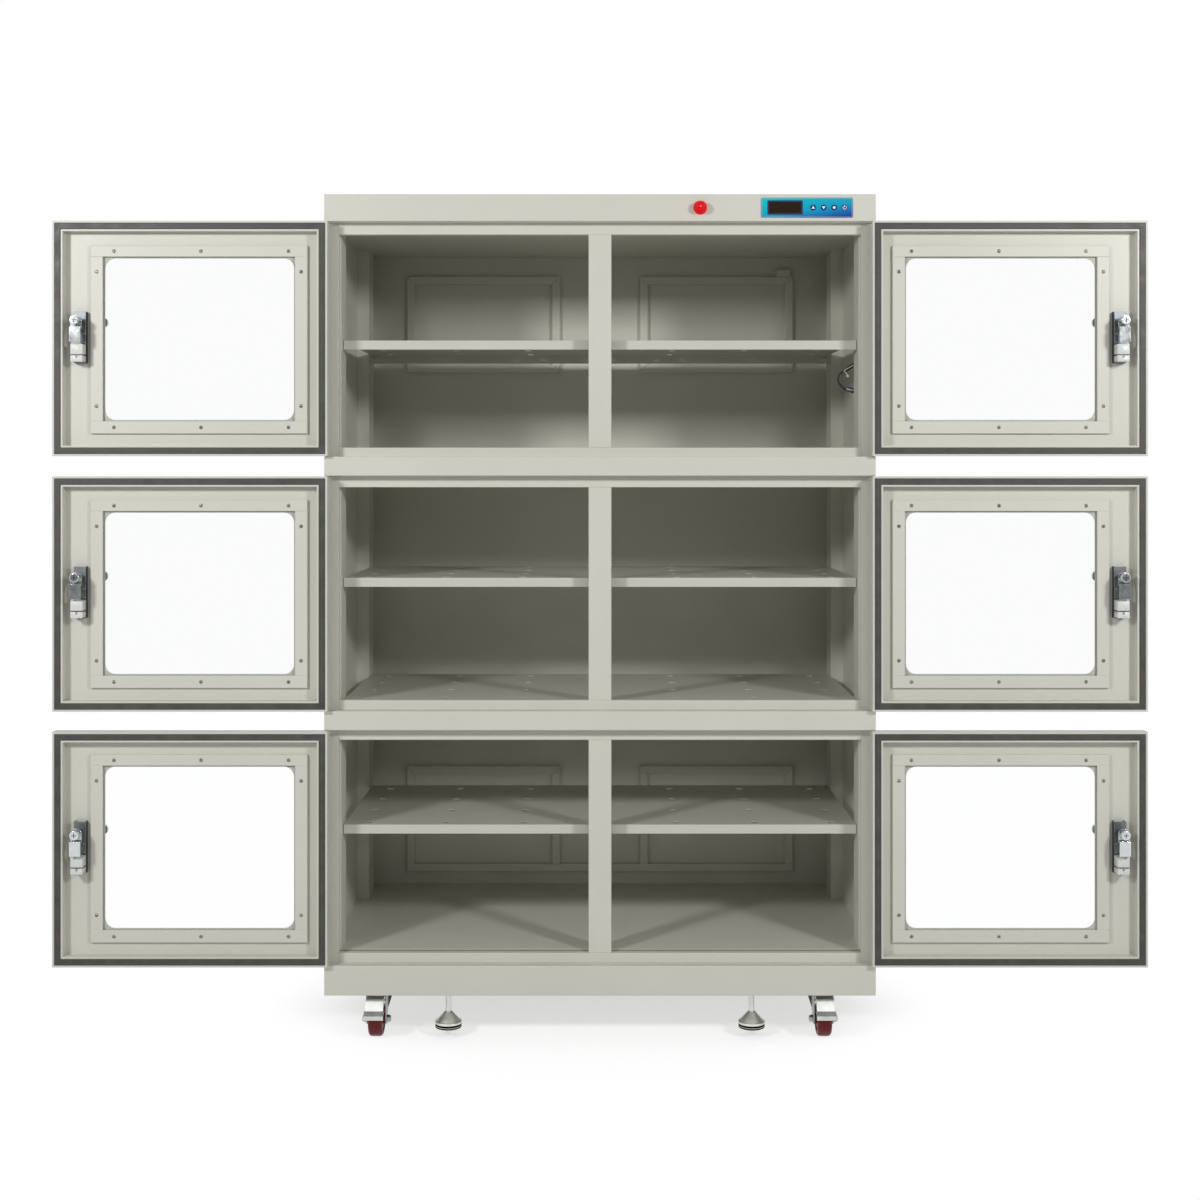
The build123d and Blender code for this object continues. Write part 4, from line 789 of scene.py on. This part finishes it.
def pan_head(shape, place, facing, radius, height, turn=0.4, arm=0.16, reach=0.62, sink=0.55, rings=7, steps=24):
    """Adds one cross-recessed pan head to a bmesh. Lengths are in millimetres."""
    lie = Vector(facing).to_track_quat("Z", "Y").to_matrix().to_4x4()
    lie.translation = place
    spokes = []
    for ring in range(rings + 1):
        share = ring / rings
        row_of_points = []
        for step in range(steps):
            angle = 2 * math.pi * step / steps + turn
            x, y = math.cos(angle - turn) * share, math.sin(angle - turn) * share
            lift = (1 - share ** 2.6) * height
            on_arm = min(abs(x), abs(y)) < arm and share < reach
            if on_arm:
                lift = lift * (1 - sink)
            point = Vector((math.cos(angle) * share * radius * MM, math.sin(angle) * share * radius * MM, lift * MM))
            row_of_points.append(lie @ point)
        spokes.append(row_of_points)
    middle = shape.verts.new(lie @ Vector((0.0, 0.0, height * (1 - sink) * MM)))
    made = [[shape.verts.new(p) for p in row_of_points] for row_of_points in spokes[1:]]
    for step in range(steps):
        after = (step + 1) % steps
        shape.faces.new((middle, made[0][step], made[0][after]))
        for ring in range(rings - 1):
            shape.faces.new((made[ring][step], made[ring + 1][step], made[ring + 1][after], made[ring][after]))
    rim = [shape.verts.new(v.co - lie.to_3x3() @ Vector((0.0, 0.0, 0.25 * MM))) for v in made[-1]]
    for step in range(steps):
        after = (step + 1) % steps
        shape.faces.new((made[-1][step], rim[step], rim[after], made[-1][after]))


def piece_from(shape, name, finish, body, smooth_below=40.0):
    """Turns a bmesh into a named piece that rides on a body."""
    bmesh.ops.recalc_face_normals(shape, faces=shape.faces)
    mesh = bpy.data.meshes.new(name)
    for face in shape.faces:
        face.smooth = True
    shape.to_mesh(mesh)
    shape.free()
    mesh.set_sharp_from_angle(angle=math.radians(smooth_below))
    mesh.materials.append(finish)
    made = bpy.data.objects.new(name, mesh)
    bpy.context.scene.collection.objects.link(made)
    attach(made, body)
    return made


STRIP_FACE = 1.0
DOOR_HINGE_EDGE = 591.0
screw_count = 0
for row_name, door_low in ROWS.items():
    for side, sign in SIDES.items():
        heads = bmesh.new()
        places = [(along, level) for along in (86.8, 277.2, 466.6) for level in (62.5, 446.0)]
        places += [(along, level) for along in (59.5, 504.5) for level in (108.7, 401.2)]
        for number, (along, level) in enumerate(places):
            here = spot(sign * (DOOR_HINGE_EDGE + along), STRIP_FACE, door_low + level)
            pan_head(heads, here, (0, -1, 0), 4.2, 2.0, turn=0.7 * number)
            screw_count += 1
        piece_from(heads, f"{row_name}_{side}_strip_screws", screw_steel, f"{row_name}_{side}_door")
print("strip screws", screw_count)

# %% [markdown]
# ## The control panel's print
# The film has a thin grey outline, a dark display window with a navy border, and four
# navy keys with white signs: up, down, a dot for the setting and the on and off sign.
# Printed marks are thin films of their own, so they stay sharp close up.

# %% Flat films


def rounded_outline(width, height, radius, steps=6):
    """Points round a rectangle with rounded corners, centred on nothing, in millimetres."""
    points = []
    for cx, cy, start in ((1, 1, 0), (-1, 1, 90), (-1, -1, 180), (1, -1, 270)):
        for step in range(steps + 1):
            angle = math.radians(start + 90 * step / steps)
            points.append((
                cx * (width / 2 - radius) + math.cos(angle) * radius,
                cy * (height / 2 - radius) + math.sin(angle) * radius,
            ))
    return points


def film_ring(shape, x, y, z, outer, inner, thick, radius):
    """A flat ring facing front, added to a bmesh; inner may be None for a whole patch."""
    rims = []
    for size in (outer, inner):
        if size is None:
            continue
        corner = max(0.3, radius - (outer[0] - size[0]) / 2)
        rims.append([(x + u, z + v) for u, v in rounded_outline(size[0], size[1], corner)])
    front = [[shape.verts.new(spot(u, y - thick, v)) for u, v in rim] for rim in rims]
    back = [[shape.verts.new(spot(u, y, v)) for u, v in rim] for rim in rims]
    count = len(rims[0])
    for step in range(count):
        after = (step + 1) % count
        shape.faces.new((front[0][step], front[0][after], back[0][after], back[0][step]))
        if inner is not None:
            shape.faces.new((front[1][step], back[1][step], back[1][after], front[1][after]))
            shape.faces.new((front[0][step], front[1][step], front[1][after], front[0][after]))
    if inner is None:
        shape.faces.new(front[0])


PANEL_FACE = (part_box("control_panel")[0].y / MM) + FRONT_TO_MIDDLE
PANEL_LEVEL = (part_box("up_key")[0].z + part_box("up_key")[1].z) / 2 / MM
panel_x = PANEL_LEFT + PANEL_WIDTH / 2
print("panel face", round(PANEL_FACE, 2), "level", round(PANEL_LEVEL, 2))

outline = bmesh.new()
film_ring(
    outline, panel_x, PANEL_FACE, PANEL_LEVEL,
    (PANEL_WIDTH - 3.0, PANEL_HEIGHT - 3.0), (PANEL_WIDTH - 4.6, PANEL_HEIGHT - 4.6), 0.05, 2.4,
)
piece_from(outline, "panel_outline", outline_ink_and_notch_shade, "root")

border = bmesh.new()
film_ring(border, PANEL_LEFT + 15.0 + 37.0, PANEL_FACE, PANEL_LEVEL, (77.5, 31.5), (70.0, 24.0), 0.06, 2.2)
piece_from(border, "display_border", border_navy, "root")

lens = bmesh.new()
film_ring(lens, PANEL_LEFT + 15.0 + 37.0, PANEL_FACE + 0.6, PANEL_LEVEL, (73.6, 27.6), None, 0.35, 1.4)
piece_from(lens, "display_lens", window_dark, "root")

# %% [markdown]
# The signs are small polygons on the keys' faces. An up and a down triangle and a dot
# are plain outlines; the on and off sign is a broken ring with a bar through the gap.

# %% Key signs


def sign_patch(shape, points, x, y, z, thick=0.06):
    """A thin flat patch with this outline, facing front."""
    front = [shape.verts.new(spot(x + u, y - thick, z + v)) for u, v in points]
    back = [shape.verts.new(spot(x + u, y, z + v)) for u, v in points]
    shape.faces.new(front)
    for step in range(len(points)):
        after = (step + 1) % len(points)
        shape.faces.new((front[step], front[after], back[after], back[step]))


def arc_band(inner, outer, start, end, steps=20):
    """The outline of part of a ring, from one angle to another in degrees."""
    angles = [math.radians(start + (end - start) * s / steps) for s in range(steps + 1)]
    out = [(math.cos(a) * outer, math.sin(a) * outer) for a in angles]
    back = [(math.cos(a) * inner, math.sin(a) * inner) for a in reversed(angles)]
    return out + back


SIGN_SCALE = 1.5
SIGNS = {
    "up_key": [[(0.0, 2.4), (-2.6, -1.6), (2.6, -1.6)]],
    "down_key": [[(0.0, -2.4), (2.6, 1.6), (-2.6, 1.6)]],
    "set_key": [[(math.cos(a * math.pi / 9) * 1.9, math.sin(a * math.pi / 9) * 1.9) for a in range(18)]],
    "power_key": [arc_band(2.0, 2.9, -230, 50), [(-0.45, 0.4), (0.45, 0.4), (0.45, 3.4), (-0.45, 3.4)]],
}
for key_name, patches in SIGNS.items():
    low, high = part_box(key_name)
    sign = bmesh.new()
    key_face = low.y / MM + FRONT_TO_MIDDLE
    for points in patches:
        drawn = [(u * SIGN_SCALE, v * SIGN_SCALE) for u, v in points]
        sign_patch(sign, drawn, (low.x + high.x) / 2 / MM, key_face, PANEL_LEVEL, 0.02)
    piece_from(sign, f"{key_name}_sign", symbol_white, key_name, 20.0)
print("key signs", len(SIGNS))

# %% [markdown]
# A small pale star on the front of the lens is a painted highlight: the glint of the lens's facets.

# %% Lamp glint, painted highlight
STAR_ARMS, STAR_OUT, STAR_IN = 6, 3.3, 0.75
lamp_low, lamp_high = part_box("alarm_lamp")
star = bmesh.new()
tips = [(STAR_OUT if n % 2 == 0 else STAR_IN, math.pi * n / STAR_ARMS) for n in range(2 * STAR_ARMS)]
star_points = [(math.sin(a) * r, math.cos(a) * r) for r, a in tips]
# The star is a painted highlight, not a part of the lamp.
sign_patch(
    star, star_points, (lamp_low.x + lamp_high.x) / 2 / MM, lamp_low.y / MM + FRONT_TO_MIDDLE,
    (lamp_low.z + lamp_high.z) / 2 / MM, 0.02,
)
piece_from(star, "lamp_glint_star", lamp_glint, "root", 20.0)
print("star points", len(star_points))

# %% [markdown]
# ## Turned and cast pieces
# Feet, nuts, rivets and lock barrels are all round about an axis. One function spins a
# list of radius and height pairs, so each piece is only its profile. With six steps
# instead of thirty two the same spin makes a hexagon nut.

# %% Spinning a profile


def turned(shape, place, facing, profile, steps=32, turn=0.0):
    """Spins (radius, height) pairs, in millimetres, round an axis through a place."""
    lie = Vector(facing).to_track_quat("Z", "Y").to_matrix().to_4x4()
    lie.translation = place
    loops = []
    for radius, height in profile:
        angles = [turn + 2 * math.pi * s / steps for s in range(steps)] if radius > 0 else [0.0]
        loops.append([
            shape.verts.new(lie @ Vector((math.cos(a) * radius * MM, math.sin(a) * radius * MM, height * MM)))
            for a in angles
        ])
    for one, two in zip(loops, loops[1:]):
        for step in range(steps):
            after = step + 1
            ring = [one[step % len(one)], two[step % len(two)], two[after % len(two)], one[after % len(one)]]
            corners = list(dict.fromkeys(ring))
            if len(corners) > 2:
                shape.faces.new(corners)


RIVET = [(2.4, -0.2), (2.4, 0.3), (2.1, 0.8), (1.3, 1.25), (0.0, 1.4)]
print("rivet profile", len(RIVET))

# %% [markdown]
# The feet stand on a black rubber sole with a grip groove round it. The stem above is an
# M12 thread. Its ridges are rings rather than one helix: at this pitch nobody can tell
# them apart, and rings close cleanly.

# %% Foot soles and threads
SOLE = [
    (0.0, -0.05), (27.0, -0.05), (28.5, 0.6), (28.9, 1.8), (28.9, 3.4), (28.35, 3.7),
    (28.35, 4.5), (28.9, 4.8), (28.9, 8.3), (28.5, 8.9), (27.0, 8.95),
]
FEET = {"front": 62.0, "rear": 610.0}
for row_name, foot_y in FEET.items():
    for side, sign in SIDES.items():
        body = f"{row_name}_{side}_foot"
        sole = bmesh.new()
        turned(sole, spot(sign * 335.0, foot_y, 20.0), (0, 0, 1), SOLE, 48)
        piece_from(sole, f"{body}_sole", pad_rubber, body)
        ridges = [(6.02 + 0.16 * (n % 2), 58.0 + 0.875 * n) for n in range(45)]
        thread = bmesh.new()
        turned(thread, spot(sign * 335.0, foot_y, 0.0), (0, 0, 1), ridges, 24)
        piece_from(thread, f"{body}_thread", turned_steel, body, 80.0)
print("feet", 2 * len(FEET))

# %% [markdown]
# Each caster plate hangs from four hexagon bolts, and a hexagon nut closes each end of
# the axle. The nuts are a shade larger than the round ends they cover.

# %% Caster bolts and axle nuts
CASTER_X = 494.0
CASTERS = {"front": (100.0, 66.0), "rear": (596.0, 630.0)}
HEX_BOLT = [(7.6, -0.2), (7.6, 3.4), (7.0, 4.0), (6.2, 4.2), (0.0, 4.2)]
HEX_NUT = [(8.3, -0.2), (8.3, 5.2), (7.7, 6.0), (6.4, 6.2)]
for row_name, (swivel_y, axle_y) in CASTERS.items():
    for side, sign in SIDES.items():
        bolts = bmesh.new()
        for dx in (-36.0, 36.0):
            for dy in (-22.0, 22.0):
                turned(bolts, spot(sign * CASTER_X + dx, swivel_y + dy, 103.5), (0, 0, -1), HEX_BOLT, 6, 0.3 * dx)
        piece_from(bolts, f"{row_name}_{side}_plate_bolts", screw_steel, "root", 25.0)
        nuts = bmesh.new()
        for way in (-1, 1):
            turned(nuts, spot(sign * CASTER_X + way * 22.5, axle_y, 37.5), (way, 0, 0), HEX_NUT, 6, 0.5)
        piece_from(nuts, f"{row_name}_{side}_axle_nuts", caster_zinc, f"{row_name}_{side}_caster", 25.0)
print("casters", 2 * len(CASTERS))

# %% [markdown]
# The front casters carry a brake pedal. A small hood plate lies over its root and closes
# the view into the fork from above. It turns with the pedal, and its front edge is bowed.

# %% Pedal hoods
HOOD_HALF, HOOD_FRONT, HOOD_BACK, HOOD_BOW = 19.5, 33.0, 56.0, 3.5
HOOD_LOW, HOOD_HIGH, HOOD_EASE = 88.7, 90.7, 0.6
for side, sign in SIDES.items():
    hood = bmesh.new()
    loops = []
    for level, inset in ((HOOD_LOW, 0.0), (HOOD_HIGH - HOOD_EASE, 0.0), (HOOD_HIGH, HOOD_EASE)):
        bow = [
            (share * (HOOD_HALF - inset), HOOD_FRONT + inset - HOOD_BOW * (1 - share ** 2))
            for share in (n / 6 - 1 for n in range(13))
        ]
        rim = bow + [(HOOD_HALF - inset, HOOD_BACK - inset), (inset - HOOD_HALF, HOOD_BACK - inset)]
        loops.append([hood.verts.new(spot(sign * CASTER_X + u, v, level)) for u, v in rim])
    hood.faces.new(loops[0])
    hood.faces.new(loops[-1])
    for one, two in zip(loops, loops[1:]):
        for step in range(len(one)):
            after = (step + 1) % len(one)
            hood.faces.new((one[step], one[after], two[after], two[step]))
    piece_from(hood, f"front_{side}_hood_top", pedal_zinc, f"front_{side}_brake", 30.0)
print("hoods", len(SIDES))

# %% [markdown]
# ## Latches
# Inside each door the latch has three small things the eye looks for: two rivets in its
# bracket, the cross in its cam screw, and a pale moulded cap on the clamp block, split by
# a groove with a small notch under it. The cap is a stack of rounded outlines, each a little
# larger than the one before, which gives it its eased front edge. The cam screw's cross,
# the lock's key slit and the cap's notch are thin dark films: painted shade for their hollows.

# %% Latch rivets, caps and cam screws


def rounded_block(shape, x, z, front, back, ease=1.2, corner=1.6):
    """A block with rounded corners, facing front. Each of x and z is a (low, high) pair."""
    wide, tall = x[1] - x[0], z[1] - z[0]
    middle = ((x[0] + x[1]) / 2, (z[0] + z[1]) / 2)
    loops = []
    for share in (1.0, 0.6, 0.25, 0.0):
        inset = ease * (1 - math.sqrt(max(0.0, 1 - share ** 2)))
        rim = rounded_outline(wide - 2 * inset, tall - 2 * inset, max(0.2, corner - inset), 4)
        loops.append([shape.verts.new(spot(middle[0] + u, front + ease * (1 - share), middle[1] + v)) for u, v in rim])
    rim = rounded_outline(wide, tall, corner, 4)
    loops.append([shape.verts.new(spot(middle[0] + u, back, middle[1] + v)) for u, v in rim])
    shape.faces.new(loops[0])
    for one, two in zip(loops, loops[1:]):
        for step in range(len(one)):
            after = (step + 1) % len(one)
            shape.faces.new((one[step], one[after], two[after], two[step]))


LATCH_X, LATCH_UP = 1130.0, 292.0
CROSS_HALF, CROSS_REACH = 0.8, 5.4
CROSS = []
arm_corners = [(CROSS_HALF, CROSS_REACH), (-CROSS_HALF, CROSS_REACH), (-CROSS_HALF, CROSS_HALF)]
for quarter in range(4):
    CROSS += arm_corners
    arm_corners = [(-v, u) for u, v in arm_corners]
BRACKET_FACE, RIVET_ASIDE, RIVET_DROPS = -7.0, 8.6, (26.2, 45.4)
CAP_HALF, CAP_FRONT, CAP_BACK, CAP_DROPS = 13.25, -31.25, -7.2, ((72.6, 49.75), (88.25, 74.5))
NOTCH, NOTCH_DROP = [(3.0, -0.15), (3.0, 0.03), (0.0, 0.03)], 77.6
BARREL, BARREL_FACE, LOCK_DROP = [(3.95, -0.2), (3.95, 1.5), (3.5, 1.9), (0.0, 1.9)], 16.2, 72.0
SLIT, SLIT_FACE = [(-0.5, -2.5), (0.5, -2.5), (0.5, 2.5), (-0.5, 2.5)], 18.1
for row_name, door_low in ROWS.items():
    for side, sign in SIDES.items():
        x, z = sign * LATCH_X, door_low + LATCH_UP
        door = f"{row_name}_{side}_door"
        rivets = bmesh.new()
        for drop in RIVET_DROPS:
            turned(rivets, spot(x - sign * RIVET_ASIDE, BRACKET_FACE, z - drop), (0, -1, 0), RIVET, 20)
        piece_from(rivets, f"{row_name}_{side}_latch_rivets", screw_steel, door)
        cap = bmesh.new()
        for low_drop, high_drop in CAP_DROPS:
            rounded_block(cap, (x - CAP_HALF, x + CAP_HALF), (z - low_drop, z - high_drop), CAP_FRONT, CAP_BACK)
        piece_from(cap, f"{row_name}_{side}_block_cap", block_nylon, door)
        # The notch is a grey disc: painted shade for a small hollow in the cap.
        notch = bmesh.new()
        turned(notch, spot(x, CAP_FRONT, z - NOTCH_DROP), (0, -1, 0), NOTCH, 24)
        piece_from(notch, f"{row_name}_{side}_cap_notch_shade", outline_ink_and_notch_shade, door, 20.0)
        # The cross is a dark film: painted shade for the screw's recess.
        cross = bmesh.new()
        sign_patch(cross, CROSS, x, -50.0, z, 0.04)
        piece_from(cross, f"{row_name}_{side}_cam_cross", recess_shade, f"{row_name}_{side}_latch", 20.0)
        barrel = bmesh.new()
        turned(barrel, spot(x, BARREL_FACE, z - LOCK_DROP), (0, 1, 0), BARREL, 28)
        piece_from(barrel, f"{row_name}_{side}_lock_barrel", latch_chrome, door)
        # The key slit is a dark film: painted shade for the keyhole.
        slit = bmesh.new()
        sign_patch(slit, SLIT, x, SLIT_FACE, z - LOCK_DROP, -0.04)
        piece_from(slit, f"{row_name}_{side}_key_slit", recess_shade, door, 20.0)
print("latches dressed", len(ROWS) * len(SIDES))

# %% [markdown]
# ## The humidity probe
# A thin white strap runs along the probe and ends in a small clip, and three crimp
# sleeves, blue, white and brown, join its wires to the lead below.

# %% Probe clip and crimp sleeves
clip = bmesh.new()
STRAP = [((576.0, 1489.6), (551.0, 1476.1)), ((551.0, 1476.1), (560.3, 1464.4))]
for (x_from, z_from), (x_to, z_to) in STRAP:
    run = math.hypot(x_to - x_from, z_to - z_from)
    profile = [(0.0, -0.3), (1.2, 0.2), (1.2, run - 0.2), (0.0, run + 0.3)]
    turned(clip, spot(x_from, 144.6, z_from), (x_to - x_from, 0, z_to - z_from), profile, 14)
rounded_block(clip, (557.0, 562.6), (1460.8, 1466.4), 142.6, 149.0, 0.6, 1.2)
piece_from(clip, "probe_clip", tie_white, "root")
SLEEVES = {
    "blue": (wire_blue, 1438.6, 144.0), "white": (tie_white, 1434.4, 146.5), "brown": (wire_brown, 1430.2, 144.0),
}
SLEEVE_X, SLEEVE_AIM = 557.0, (1.0, 0.1, -0.25)
SLEEVE = [(0.0, -0.4), (1.1, -0.2), (1.5, 0.4), (1.5, 7.5), (1.9, 7.9), (1.9, 15.5), (1.4, 16.2), (0.0, 16.4)]
for colour_name, (finish, level, depth) in SLEEVES.items():
    sleeve = bmesh.new()
    turned(sleeve, spot(SLEEVE_X, depth, level), SLEEVE_AIM, SLEEVE, 14)
    piece_from(sleeve, f"crimp_{colour_name}", finish, "root")
print("sleeves", len(SLEEVES))

# %% [markdown]
# ## The back
# The back sheet is screwed on all round, each drying unit's cover has screws in its
# sides, and two more hold the power inlet.

# %% Back screws
back = bmesh.new()
count = 0
for level in (124.0, 1834.0):
    for number in range(7):
        pan_head(back, spot(-579.0 + 193.0 * number, 672.0, level), (0, 1, 0), 4.2, 1.9, turn=0.9 * number)
        count += 1
for x in (-582.0, 582.0):
    for number in range(7):
        pan_head(back, spot(x, 672.0, 338.0 + 214.0 * number), (0, 1, 0), 4.2, 1.9, turn=0.5 * number)
        count += 1
for dx in (-20.0, 20.0):
    pan_head(back, spot(515.0 + dx, 675.0, 180.0), (0, 1, 0), 2.8, 1.4, turn=0.6)
    count += 1
for middle in (-297.5, 297.5):
    for level in (362.0, 1624.0):
        for way in (-1, 1):
            for dz in (-62.0, 62.0):
                pan_head(back, spot(middle + way * 175.0, 694.0, level + dz), (way, 0, 0), 3.6, 1.7, turn=0.3 * dz)
                count += 1
piece_from(back, "back_screws", screw_steel, "root")
print("back screws", count)
